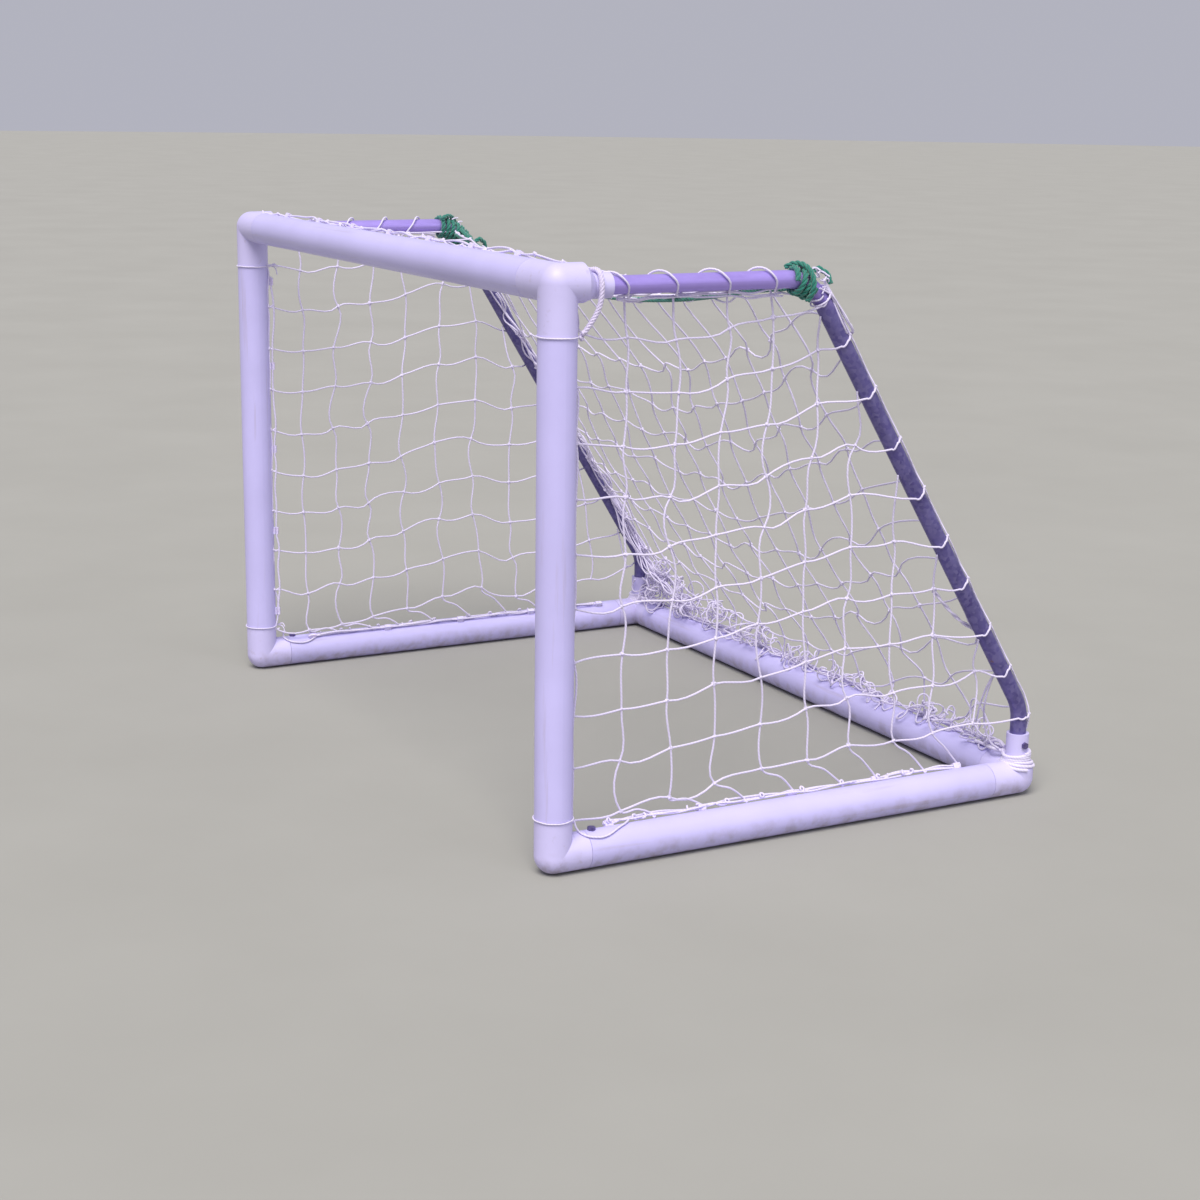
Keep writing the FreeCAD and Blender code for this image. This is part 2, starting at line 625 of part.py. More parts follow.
def make_upright_ties():
    """A cord tied round each upright at its lower and upper joint."""
    inner = "Sizes.tube_od + 2 * Sizes.seat_gap"
    ties = []
    for side, sign in SIDES.items():
        for level, height in (
            ("lower", f"{BAR_Z} + Sizes.foot_arm_up - Sizes.tie_od / 2"),
            ("upper", f"{CROSSBAR_Z} - Sizes.top_arm_down - Sizes.tie_od / 2"),
        ):
            ring = make_ring(f"{side}_{level}_tie", inner, f"{inner} + 2 * Sizes.tie_od", "Sizes.tie_od")
            ties.append(put(ring, f"{sign} * {POST_X}", FRONT_Y, height))
    return group("upright_ties", ties)


def make_rear_lashings():
    """Turns of cord round the neck of each rear socket, over the corner's cone."""
    inner = f"{SOCKET_OD} + 2 * Sizes.seat_gap"
    lashings = []
    for side, sign in SIDES.items():
        turns = make_ring(f"{side}_lashing", inner, f"{inner} + 2 * Sizes.lacing_od", LASHING_HEIGHT)
        lashings.append(put(turns, f"{sign} * {POST_X}", REAR_Y, LASHING_FOOT))
    return group("rear_socket_lashings", lashings)


def make_rope_lashings():
    """Turns of thick rope round each stanchion's upper bend, kept plain as flat rings two turns wide."""
    inside = "sqrt((Sizes.bend_radius - Sizes.stanchion_od / 2)^2 - Sizes.rope_od^2)"
    bore = f"2 * (Sizes.bend_radius - {inside} + Sizes.seat_gap)"
    lashings = []
    for side, sign in SIDES.items():
        body = doc.addObject("PartDesign::Body", f"{side}_rope_lashing")
        section = new_sketch(body, body.Name + "_section", "XZ_Plane")
        draw_circle(section, bore, y="Sizes.bend_radius")
        draw_circle(section, f"{bore} + 2 * Sizes.rope_od", y="Sizes.bend_radius")
        pair = pad(body, section, "2 * Sizes.rope_od", centred=True)
        row = "(Sizes.rope_rings - 1) * Sizes.rope_ring_step * 1deg"
        repeat_round(body, [pair], "X_Axis", row, "Sizes.rope_rings")
        body.Placement = Placement(Vector(), Rotation(Vector(1, 0, 0), -value(ROPE_LEAN)))
        body.setExpression("Placement.Rotation.Angle", f"-{ROPE_LEAN}")
        lashings.append(put(body, f"{sign} * {POST_X}", f"{FRONT_Y} + Sizes.roof_depth - {TOP_TANGENT}",
                            f"{LEG_Z} - Sizes.bend_radius"))
    return group("rope_lashings", lashings)


# ---------------------------------------------------------------- net panels
# Each panel is a lattice of its two runs of twine, one run lying on the other at the knots.
TWINE = "Sizes.twine"
SLANT_INSET = f"(Sizes.stanchion_od / 2 / sin({FALL_ANGLE}))"
RIDGE_OVER = f"({NET_INSET} * tan((90deg - {FALL_ANGLE}) / 2))"
NET_EDGE = f"({POST_X} - {NET_INSET} - {TWINE} - Sizes.seat_gap)"
SLEEVE_EDGE = f"({POST_X} - {TUBE_RADIUS} - Sizes.seat_gap)"


def strand(name, size, place):
    """One straight run of twine, square in section."""
    run = primitive("Box", name, **dict(zip(("Length", "Width", "Height"), size)))
    return put(run, *place)


def cells(length):
    """How many whole meshes fit best in a length."""
    return max(1, round(value(length) / value("Sizes.mesh")))


def make_flat_panel(name, length, first_row=1):
    """A net panel in its own XY plane, centred on X, running along +Y; layers above and below it."""
    columns = cells(f"2 * {SLEEVE_EDGE}")
    rows = cells(length)
    strands = []
    for number in range(columns + 1):
        x = f"({number} / {columns} * 2 - 1) * ({SLEEVE_EDGE} - {TWINE} / 2) - {TWINE} / 2"
        strands.append(strand(f"{name}_column_{number}", (TWINE, length, TWINE), (x, "0", "0")))
    for number in range(first_row, rows + 1):
        edge = NET_EDGE if number else SLEEVE_EDGE
        y = f"{number} / {rows} * ({length} - {TWINE})"
        size = (f"2 * {edge}", TWINE, TWINE)
        strands.append(strand(f"{name}_row_{number}", size, (f"-{edge}", y, f"-{TWINE}")))
    return strands


def lay_panel(label, strands, angle, y, z):
    """Gather a panel's strands and tip the panel about the X axis."""
    panel = group(label, strands)
    panel.Placement = Placement(Vector(), Rotation(Vector(1, 0, 0), value(angle)))
    panel.setExpression("Placement.Rotation.Angle", angle)
    return put(panel, "0", y, z)


def make_roof():
    """The net over the top, from the crossbar's lacing to the stanchions' upper bends."""
    run = f"(Sizes.roof_depth - {TOP_TANGENT} - {EDGE_ACROSS})"
    drop = f"({CROSSBAR_Z} + {LACE_RISE} - {LEG_Z} - {NET_INSET})"
    angle = f"-atan({drop} / {run})"
    length = f"({run} / cos({angle}))"
    return lay_panel("net_roof", make_flat_panel("roof", length, first_row=0), angle,
                     f"{FRONT_Y} + {EDGE_ACROSS}", f"{CROSSBAR_Z} + {LACE_RISE}")


def make_back():
    """The net down the back: over the ridge, down the fall, then upright to the rear lacing."""
    reach = f"(Sizes.bend_radius + {NET_INSET})"
    chord = f"(2 * {reach} * sin({FALL_ANGLE} / 2))"
    ridge = lay_panel("net_ridge", make_flat_panel("ridge", chord), f"-{FALL_ANGLE} / 2",
                      f"{FRONT_Y} + Sizes.roof_depth - {TOP_TANGENT}", f"{LEG_Z} + {NET_INSET}")
    bend_y = f"{FRONT_Y} + Sizes.roof_depth + {TOP_TANGENT} * cos({FALL_ANGLE})"
    bend_z = f"{LEG_Z} - {TOP_TANGENT} * sin({FALL_ANGLE})"
    slope_y = f"({bend_y} + {NET_INSET} * sin({FALL_ANGLE}))"
    slope_z = f"({bend_z} + {NET_INSET} * cos({FALL_ANGLE}))"
    slope_length = f"({FALL} / sin({FALL_ANGLE}) - {TOP_TANGENT} + {RIDGE_OVER})"
    slope = lay_panel("net_slope", make_flat_panel("slope", slope_length), f"-{FALL_ANGLE}", slope_y, slope_z)
    apron_top = f"(Sizes.lower_bend_height + {RIDGE_OVER})"
    apron_length = f"({apron_top} - {BAR_Z} - {EDGE_RISE})"
    apron = lay_panel("net_apron", make_flat_panel("apron", apron_length), "-90deg",
                      f"{REAR_Y} + {NET_INSET}", apron_top)
    return group("net_back", [ridge, slope, apron])


def make_side_panel(side):
    """The net at one side: upright's clips to the fall, ground bar's clips to the level leg."""
    sign = SIDES[side]
    front = f"({FRONT_Y} + {EDGE_RISE})"
    back = f"({REAR_Y} + Sizes.stanchion_od / 2)"
    bottom = f"({BAR_Z} + {EDGE_RISE})"
    top = f"({LEG_Z} + Sizes.stanchion_od / 2)"
    fall_y = f"({FRONT_Y} + Sizes.roof_depth + {SLANT_INSET})"
    outer = f"{sign} * ({POST_X} - {NET_INSET} + {TWINE} / 2) - {TWINE} / 2"
    inner = f"{sign} * ({POST_X} - {NET_INSET} - {TWINE} / 2) - {TWINE} / 2"
    columns = cells(f"{back} - {front}")
    rows = cells(f"{top} - {bottom}")
    # the first and last runs stop short of the corners' sleeves, the neck's lashing and the bend
    sleeve_under = f"({CROSSBAR_Z} - {TUBE_RADIUS} - Sizes.seat_gap)"
    cone_end = f"({FRONT_Y} + Sizes.top_arm_back + Sizes.cone_length + Sizes.seat_gap)"
    neck_front = f"({REAR_Y} - {SOCKET_OD} / 2 - Sizes.lacing_od - 2 * Sizes.seat_gap)"
    rim = f"({RIM_Z} + Sizes.seat_gap)"
    bend_start = f"({FRONT_Y} + Sizes.roof_depth - {TOP_TANGENT})"
    strands = []
    for number in range(columns + 1):
        y = f"({front} + {number} / {columns} * ({back} - {front} - {TWINE}))"
        fall_z = f"({LEG_Z} - ({y} + {TWINE} - {fall_y}) * tan({FALL_ANGLE}))"
        low = rim if number == columns else bottom
        high = sleeve_under if number == 0 else f"min({top}; {fall_z})"
        size = (TWINE, TWINE, f"{high} - {low}")
        strands.append(strand(f"{side}_net_column_{number}", size, (outer, y, low)))
    for number in range(rows + 1):
        z = f"({bottom} + {number} / {rows} * ({top} - {bottom} - {TWINE}))"
        fall_end = f"({fall_y} + ({LEG_Z} - {z} - {TWINE}) / tan({FALL_ANGLE}))"
        start = cone_end if number == rows else front
        end = {0: neck_front, rows: bend_start}.get(number, f"min({back}; {fall_end})")
        size = (TWINE, f"{end} - {start}", TWINE)
        strands.append(strand(f"{side}_net_row_{number}", size, (inner, start, z)))
    return group(f"net_{side}_side", strands)


def make_heap():
    """The slack foot of the back net, bunched along the top of the rear bar."""
    lean = "(Sizes.heap_lean * 1deg)"
    reach = f"({TUBE_RADIUS} + Sizes.heap_od / 2 + Sizes.seat_gap)"
    body = new_body("net_heap")
    section = new_sketch(body, "heap_section", "YZ_Plane")
    draw_circle(section, "Sizes.heap_od")
    pad(body, section, f"{POST_SPAN} - 2 * Sizes.heap_inset", centred=True)
    return put(body, "0", f"{REAR_Y} - {reach} * sin({lean})", f"{BAR_Z} + {reach} * cos({lean})")


# ---------------------------------------------------------------- ropes that hang free
def rounded_path(points, share=0.45):
    """Straight runs joined by arcs as large as the two runs beside each corner allow."""
    edges = []
    start = points[0]
    for before, corner, after in zip(points, points[1:], points[2:]):
        inward = (before - corner).normalize()
        onward = (after - corner).normalize()
        turn = math.pi - inward.getAngle(onward)
        setback = share * min((before - corner).Length, (after - corner).Length)
        radius = setback / math.tan(turn / 2)
        middle = (inward + onward).normalize()
        centre = corner + middle * math.hypot(radius, setback)
        arc_in = corner + inward * setback
        arc_out = corner + onward * setback
        edges.append(Part.LineSegment(start, arc_in).toShape())
        edges.append(Part.Arc(arc_in, centre - middle * radius, arc_out).toShape())
        start = arc_out
    edges.append(Part.LineSegment(start, points[-1]).toShape())
    return Part.Wire(edges)


def make_cord(label, points, diameter, x="0", y="0", z="0", sides=8):
    """A plain many-sided cord along hand-set points, checked against its section times its length."""
    path = rounded_path([Vector(*point) for point in points])
    start = Vector(*points[0])
    turned = Rotation(Vector(0, 0, 1), Vector(*points[1]) - start)
    corners = []
    for number in range(sides + 1):
        angle = 2 * math.pi * number / sides
        spoke = Vector(math.cos(angle), math.sin(angle), 0) * (diameter / 2)
        corners.append(start + turned.multVec(spoke))
    section = Part.makePolygon(corners)
    solid = path.makePipeShell([section], True, False)
    expected = Part.Face(section).Area * path.Length
    if abs(solid.Volume - expected) > 0.02 * expected:
        raise RuntimeError(label + " did not sweep to its full volume")
    print(f"{label} length {path.Length:.0f}")
    cord = doc.addObject("Part::Feature", label)
    cord.Label = label
    cord.Shape = solid
    return put(cord, x, y, z)


# from one upper bend to the other, measured from the middle of the ridge: X, Y and height
SUPPORT_ROPE = [
    (-738, 0, -18), (-600, 1, -41), (-445, 3, -65), (-285, 1, -84), (-120, -2, -97), (45, -2, -98),
    (210, 0, -88), (370, 3, -71), (520, 2, -47), (640, 1, -29), (738, 0, -18),
]
# over the near socket's collar, then down to the upright's upper tie, from the collar's middle
HANGER = [(-14, 0, 25), (14, 0, 31), (30, -1, 8), (32, -3, -24), (27, -14, -53), (17, -32, -76)]


def make_support_rope():
    """The thick rope that holds up the net's rear top edge, sagging between the two stanchions."""
    middle_y = f"{FRONT_Y} + Sizes.roof_depth - {TOP_TANGENT} + Sizes.bend_radius * sin({FALL_ANGLE} / 2)"
    return make_cord("net_support_rope", SUPPORT_ROPE, value("Sizes.rope_od"), "0", middle_y, LEG_Z)


def make_hanger():
    """A braided cord slung over the near corner's socket and tied off at the upright."""
    collar_y = f"{FRONT_Y} + Sizes.top_socket_reach - Sizes.hanger_od"
    return make_cord("corner_hanger_cord", HANGER, value("Sizes.hanger_od"), POST_X, collar_y, LEG_Z)


# ---------------------------------------------------------------- the whole goal
subparts = []
for label, bar in BARS.items():
    subparts.append(make_bar(label, bar))
    subparts.append(make_clips(label + "_net_clips", bar))
    subparts.append(make_lacing(label + "_lacing_cord", bar))
for side in SIDES:
    subparts.append(make_top_corner(side))
    subparts.append(make_foot_corner(side))
    subparts.append(make_rear_corner(side))
    subparts.append(make_stanchion(side))
    subparts.append(make_side_panel(side))
subparts += make_fasteners()
subparts += [make_upright_ties(), make_rear_lashings(), make_rope_lashings()]
subparts += [make_roof(), make_back(), make_heap(), make_support_rope(), make_hanger()]
doc.recompute()

# ---------------------------------------------------------------- checks, then one file for each
for item in doc.Objects:
    if "Invalid" in item.State or "Error" in item.State:
        raise RuntimeError(item.Name + " failed to build")
    if item.TypeId == "PartDesign::Pocket" and item.Shape.Volume > item.BaseFeature.Shape.Volume - 1:
        raise RuntimeError(item.Name + " cuts nothing")
for subpart in subparts:
    if subpart.Shape.isNull() or not subpart.Shape.isValid():
        raise RuntimeError(subpart.Label + " has no valid shape")
    subpart.Shape.exportStep(f"parts/{subpart.Label}.step")
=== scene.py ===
import math
import random

import bpy
from mathutils import Euler, Matrix, Quaternion, Vector


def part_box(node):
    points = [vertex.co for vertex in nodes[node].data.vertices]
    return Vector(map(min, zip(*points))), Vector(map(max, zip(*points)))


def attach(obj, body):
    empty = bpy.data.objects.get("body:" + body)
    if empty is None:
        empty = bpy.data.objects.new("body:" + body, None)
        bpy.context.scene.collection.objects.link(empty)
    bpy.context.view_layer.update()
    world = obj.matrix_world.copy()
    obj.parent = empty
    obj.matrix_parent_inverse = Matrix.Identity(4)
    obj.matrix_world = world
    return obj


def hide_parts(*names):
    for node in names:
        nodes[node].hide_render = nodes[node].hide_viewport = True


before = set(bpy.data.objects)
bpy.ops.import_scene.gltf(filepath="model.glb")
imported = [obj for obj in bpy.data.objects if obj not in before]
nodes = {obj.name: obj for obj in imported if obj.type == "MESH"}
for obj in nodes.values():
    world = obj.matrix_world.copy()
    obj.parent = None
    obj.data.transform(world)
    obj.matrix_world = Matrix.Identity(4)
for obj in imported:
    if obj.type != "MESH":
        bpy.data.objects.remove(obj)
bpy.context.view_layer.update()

# ---------------------------------------------------------------- plastic tubes
# Six cut lengths of white plastic tube: crossbar, two uprights, and three bars on the ground.
# Extruded, so they keep faint lines along their length; the ground bars are scuffed and muddied low down.
post_low, post_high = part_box("right_upright")
bar_low, bar_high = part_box("rear_ground_bar")
beam_low, beam_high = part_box("crossbar")
tube_radius = (beam_high.z - beam_low.z) / 2
post_x = (post_low.x + post_high.x) / 2
front_y = (beam_low.y + beam_high.y) / 2
rear_y = (bar_low.y + bar_high.y) / 2
bar_z = (bar_low.z + bar_high.z) / 2


def new_finish(name):
    """An empty finish: the material, its node tree and its shader."""
    finish = bpy.data.materials.new(name)
    finish.use_nodes = True
    return finish, finish.node_tree, finish.node_tree.nodes["Principled BSDF"]


def add(tree, kind, sockets=None, **settings):
    """One node, with its settings, and its sockets set to a value or wired from another node."""
    made = tree.nodes.new("ShaderNode" + kind)
    for key, setting in settings.items():
        setattr(made, key, setting)
    for key, given in (sockets or {}).items():
        if isinstance(given, bpy.types.NodeSocket):
            tree.links.new(given, made.inputs[key])
        else:
            made.inputs[key].default_value = given
    return made


def object_place(tree, stretch=(1, 1, 1)):
    """Object coordinates, stretched along some axes."""
    coordinates = add(tree, "TexCoord")
    return add(tree, "Mapping", {"Vector": coordinates.outputs["Object"], "Scale": stretch}).outputs["Vector"]


def speckle(tree, place, scale, low, high, detail=4.0, roughness=0.55):
    """Noise at a scale, cut down to the range between two levels."""
    noise = add(tree, "TexNoise", {"Vector": place, "Scale": scale, "Detail": detail, "Roughness": roughness})
    cut = add(tree, "MapRange", {"Value": noise.outputs["Fac"], "From Min": low, "From Max": high})
    return cut.outputs["Result"]


def tint(tree, amount, before, after):
    """A colour that goes from one to another by an amount."""
    mix = add(tree, "Mix", {"Factor": amount}, data_type="RGBA")
    for key, given in (("A", before), ("B", after)):
        socket = next(s for s in mix.inputs if s.name == key and s.type == "RGBA")
        if isinstance(given, bpy.types.NodeSocket):
            tree.links.new(given, socket)
        else:
            socket.default_value = (*given, 1)
    return next(s for s in mix.outputs if s.type == "RGBA")


def maths(tree, operation, first, second):
    """One sum on two values."""
    sum_node = add(tree, "Math", operation=operation)
    for socket, given in zip(sum_node.inputs, (first, second)):
        if isinstance(given, bpy.types.NodeSocket):
            tree.links.new(given, socket)
        else:
            socket.default_value = given
    return sum_node.outputs["Value"]


def wire_bump(tree, shader, height, strength, distance):
    """Gives the surface its fine relief."""
    bump = add(tree, "Bump", {"Height": height, "Strength": strength, "Distance": distance})
    tree.links.new(bump.outputs["Normal"], shader.inputs["Normal"])


mud_line = 0.05


def plastic_finish(name, colour, lines, shine):
    """White plastic: faint lines, clouding, scuffs, and dried mud low down."""
    finish, tree, shader = new_finish(name)
    place = object_place(tree)
    cloud = speckle(tree, place, 5, 0.35, 0.7)
    base = tint(tree, cloud, colour, tuple(0.9 * part for part in colour))
    scuff = speckle(tree, object_place(tree, lines), 60, 0.62, 0.72, detail=6)
    base = tint(tree, maths(tree, "MULTIPLY", scuff, 0.4), base, (0.42, 0.36, 0.47))
    height = add(tree, "SeparateXYZ", {"Vector": place}).outputs["Z"]
    near_ground = add(tree, "MapRange", {"Value": height, "From Min": mud_line, "From Max": 0.0}).outputs["Result"]
    mud = maths(tree, "MULTIPLY", near_ground, speckle(tree, place, 38, 0.45, 0.66, detail=7))
    base = tint(tree, maths(tree, "MULTIPLY", mud, 0.6), base, (0.2, 0.15, 0.11))
    tree.links.new(base, shader.inputs["Base Color"])
    worn = speckle(tree, object_place(tree, lines), 90, 0.3, 0.75)
    rough = add(tree, "MapRange", {"Value": worn, "To Min": shine, "To Max": shine + 0.2}).outputs["Result"]
    tree.links.new(rough, shader.inputs["Roughness"])
    wire_bump(tree, shader, worn, 0.12, 0.0004)
    return finish


def cover(piece, finish):
    """Gives a piece its only finish."""
    piece.data.materials.clear()
    piece.data.materials.append(finish)


tube_colour = (0.56, 0.515, 0.88)
tube_shine = 0.3
drawn_out = 0.05
# the drawn lines run along each tube
along = {"crossbar": (drawn_out, 1, 1), "rear_ground_bar": (drawn_out, 1, 1),
         "left_upright": (1, 1, drawn_out), "right_upright": (1, 1, drawn_out),
         "left_ground_bar": (1, drawn_out, 1), "right_ground_bar": (1, drawn_out, 1)}
for name, lines in along.items():
    cover(nodes[name], plastic_finish(name + "_plastic", tube_colour, lines, tube_shine))

# ---------------------------------------------------------------- moulded corners
# Six injection-moulded plastic corners that the tubes push on to, with plugs inside the tubes.
# They are a shade whiter than the tubes, softer in sheen, and have no drawn lines.
corner_colour = (0.60, 0.55, 0.88)
corner_shine = 0.38
corner_plastic = plastic_finish("moulded_corner_plastic", corner_colour, (1, 1, 1), corner_shine)
for name in ("top_corner", "front_foot_corner", "rear_corner"):
    for side in ("left", "right"):
        cover(nodes[f"{name}_{side}"], corner_plastic)

# ---------------------------------------------------------------- bent steel stanchions
# Two galvanised steel tubes, each bent twice: level behind the top corner, down a slope, and upright in its socket.
# They have weathered to a dull grey with paler streaks and a few rust freckles; the level leg is painted pale, a
# painted reflection of the bright sky above it.
fall_colour = (0.072, 0.056, 0.21)
streak_colour = (0.12, 0.098, 0.31)
# painted reflection: the level leg's pale lavender stands for the bright sky that it reflects
leg_sky_reflection_colour = (0.43, 0.32, 0.84)
reflection_from_height = 0.97
reflection_to_height = 1.015
steel, tree, shader = new_finish("weathered_zinc_steel")
place = object_place(tree)
spangle = add(tree, "TexVoronoi", {"Vector": place, "Scale": 140})
streak = speckle(tree, object_place(tree, (1, 0.25, 0.25)), 70, 0.35, 0.7)
base = tint(tree, streak, fall_colour, streak_colour)
grain = add(tree, "SeparateColor", {"Color": spangle.outputs["Color"]}).outputs["Red"]
base = tint(tree, maths(tree, "MULTIPLY", grain, 0.25), base, (0.36, 0.33, 0.55))
height = add(tree, "SeparateXYZ", {"Vector": place}).outputs["Z"]
# painted reflection: the level leg and the top of the bend are painted paler above this height
sky_reflection_mask = add(tree, "MapRange", {"Value": height, "From Min": reflection_from_height, "From Max": reflection_to_height}).outputs["Result"]
base = tint(tree, maths(tree, "MULTIPLY", sky_reflection_mask, 0.8), base, leg_sky_reflection_colour)
rust = speckle(tree, place, 55, 0.68, 0.76, detail=8)
base = tint(tree, maths(tree, "MULTIPLY", rust, 0.7), base, (0.19, 0.09, 0.06))
tree.links.new(base, shader.inputs["Base Color"])
shader.inputs["Metallic"].default_value = 0.35
rough = add(tree, "MapRange", {"Value": streak, "To Min": 0.34, "To Max": 0.55}).outputs["Result"]
tree.links.new(rough, shader.inputs["Roughness"])
wire_bump(tree, shader, maths(tree, "ADD", streak, rust), 0.15, 0.0004)
for side in ("left", "right"):
    cover(nodes[side + "_stanchion"], steel)

# ---------------------------------------------------------------- screws, bolts and nuts
# Zinc-plated hex screws driven through the ground tubes into the plugs, and a bolt and nut through each
# stanchion's foot. All are dulled by weather, with specks of rust.
zinc, tree, shader = new_finish("dulled_zinc")
place = object_place(tree)
dull = speckle(tree, place, 260, 0.3, 0.7, detail=6)
base = tint(tree, dull, (0.09, 0.07, 0.2), (0.2, 0.165, 0.38))
base = tint(tree, speckle(tree, place, 420, 0.6, 0.7, detail=5), base, (0.12, 0.06, 0.04))
tree.links.new(base, shader.inputs["Base Color"])
shader.inputs["Metallic"].default_value = 0.7
tree.links.new(add(tree, "MapRange", {"Value": dull, "To Min": 0.35, "To Max": 0.6}).outputs["Result"],
               shader.inputs["Roughness"])
wire_bump(tree, shader, dull, 0.2, 0.0002)
for name in ("ground_bar_screws", "stanchion_foot_bolts", "stanchion_foot_nuts"):
    cover(nodes[name], zinc)

# ---------------------------------------------------------------- net clips
# Small white moulded hooks, each pressed into a hole in its tube on the net's side.
# The jaws hold the lacing cord and are a little dirty.
clip_colour = (0.72, 0.64, 0.92)
grime_colour = (0.38, 0.32, 0.45)
clip_plastic, tree, shader = new_finish("clip_plastic")
place = object_place(tree)
grime = speckle(tree, place, 180, 0.5, 0.72, detail=5)
base = tint(tree, maths(tree, "MULTIPLY", grime, 0.5), clip_colour, grime_colour)
tree.links.new(base, shader.inputs["Base Color"])
shader.inputs["Roughness"].default_value = 0.45
shader.inputs["Subsurface Weight"].default_value = 0.1
wire_bump(tree, shader, grime, 0.15, 0.0003)
bars = list(along)
for bar in bars:
    cover(nodes[bar + "_net_clips"], clip_plastic)

# ---------------------------------------------------------------- cord laced through the clips
# One thin white cord to each bar, twisted from three plies, threaded through the clips and slack between them.
# It is knotted off at its first and last clips.
body = "root"
random.seed(11)


def clean_start():
    """Leaves nothing selected, so that an operator only acts on what is made next."""
    bpy.ops.object.select_all(action="DESELECT")


def draw_lines(name, lines, diameter, sides=6, smooth=4, closed=False):
    """Cord along lines of points, made into one mesh; a point may bring its two handles with it."""
    curve = bpy.data.curves.new(name, "CURVE")
    curve.dimensions = "3D"
    curve.bevel_depth = diameter / 2
    curve.bevel_resolution = (sides - 4) // 2
    curve.resolution_u = smooth
    curve.use_fill_caps = True
    for line in lines:
        spline = curve.splines.new("BEZIER")
        spline.bezier_points.add(len(line) - 1)
        spline.use_cyclic_u = closed
        for point, spot in zip(spline.bezier_points, line):
            own_handles = isinstance(spot, tuple)
            point.handle_left_type = point.handle_right_type = "FREE" if own_handles else "AUTO"
            point.co = spot[0] if own_handles else spot
            if own_handles:
                point.handle_left, point.handle_right = spot[1:]
    drawn = bpy.data.objects.new(name, curve)
    bpy.context.scene.collection.objects.link(drawn)
    clean_start()
    drawn.select_set(True)
    bpy.context.view_layer.objects.active = drawn
    bpy.ops.object.convert(target="MESH")
    bpy.ops.object.shade_smooth()
    return bpy.context.view_layer.objects.active


def join_all(name, pieces):
    """Joins meshes into one named piece at the origin."""
    clean_start()
    for piece in pieces:
        piece.select_set(True)
    bpy.context.view_layer.objects.active = pieces[0]
    bpy.ops.object.join()
    joined = bpy.context.view_layer.objects.active
    joined.name = name
    joined.data.name = name
    return joined


# a pattern of bands at scale 1 repeats after so many metres
band_period = 0.63


def cord_finish(name, colour, shade, pitch, diameter, braided=False, fuzz=0.3):
    """Twisted or braided cord: strands slant round it, painted shade darkens the creases between them, patches of
    dirt lie along it, and it has a dry sheen.
    """
    finish, tree, shader = new_finish(name)
    place = object_place(tree)
    bands = dict(wave_type="BANDS", bands_direction="DIAGONAL")
    sizes = {"Scale": band_period / pitch, "Distortion": 1.2, "Detail": 1.0}
    strands = add(tree, "TexWave", {"Vector": place, **sizes}, **bands).outputs["Fac"]
    if braided:
        mirrored = object_place(tree, (-1, 1, 1))
        crossing = add(tree, "TexWave", {"Vector": mirrored, **sizes}, **bands).outputs["Fac"]
        strands = maths(tree, "MULTIPLY", strands, crossing)
    fibre = speckle(tree, place, 900, 0.3, 0.7, detail=3)
    soil = speckle(tree, place, 14, 0.45, 0.75, detail=6)
    crease_shade_mask = maths(tree, "SUBTRACT", 1.0, strands)
    base = tint(tree, fibre, colour, tuple(0.9 * part for part in colour))
    # painted shade: the creases between the strands are tinted towards the shade colour
    base = tint(tree, maths(tree, "MULTIPLY", crease_shade_mask, 0.3), base, shade)
    base = tint(tree, maths(tree, "MULTIPLY", soil, 0.25), base, shade)
    tree.links.new(base, shader.inputs["Base Color"])
    shader.inputs["Roughness"].default_value = 0.62
    shader.inputs["Sheen Weight"].default_value = fuzz
    wire_bump(tree, shader, maths(tree, "ADD", strands, maths(tree, "MULTIPLY", fibre, 0.3)), 0.6, diameter / 10)
    return finish


def finish_piece(piece, finish, slot, *replaced):
    """Gives a piece its finish, hangs it on the body, and hides the plain solids that it stands for; the slot is
    not used.
    """
    cover(piece, finish)
    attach(piece, body)
    if replaced:
        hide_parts(*replaced)
    return piece


def wobble(amount):
    """A small random shift."""
    return random.uniform(-amount, amount)


def shake(amount):
    """A small random shift every way."""
    return Vector((wobble(amount), wobble(amount), wobble(amount)))


def tie_knot(width):
    """A tight overhand knot of one cord, drawn once and copied wherever cords are tied."""
    knot_points = 7
    pulled_tight = 0.22
    turns = []
    for step in range(knot_points):
        angle = 2 * math.pi * step / knot_points
        loop = Vector((math.sin(angle) + 2 * math.sin(2 * angle),
                       math.cos(angle) - 2 * math.cos(2 * angle), -math.sin(3 * angle)))
        turns.append(loop * width * pulled_tight)
    return draw_lines("knot", [turns], width, sides=4, smooth=2, closed=True)


def copy_knots(knot, places):
    """A copy of a knot at each place, turned its own way."""
    copies = []
    for spot in places:
        copied = knot.copy()
        copied.data = knot.data.copy()
        turn = Euler((wobble(3), wobble(3), wobble(3)))
        copied.data.transform(Matrix.LocRotScale(spot, turn, Vector((1, 1, 1)) * random.uniform(0.85, 1.15)))
        bpy.context.scene.collection.objects.link(copied)
        copies.append(copied)
    bpy.data.objects.remove(knot)
    return copies


twine_colour = (0.77, 0.71, 0.93)
twine_shade = (0.50, 0.44, 0.68)
lacing_width = 0.0044
lacing_finish = cord_finish("lacing_cord_fibre", twine_colour, twine_shade, 0.008, lacing_width)
clip_length = 0.016
clip_pitch = 0.193
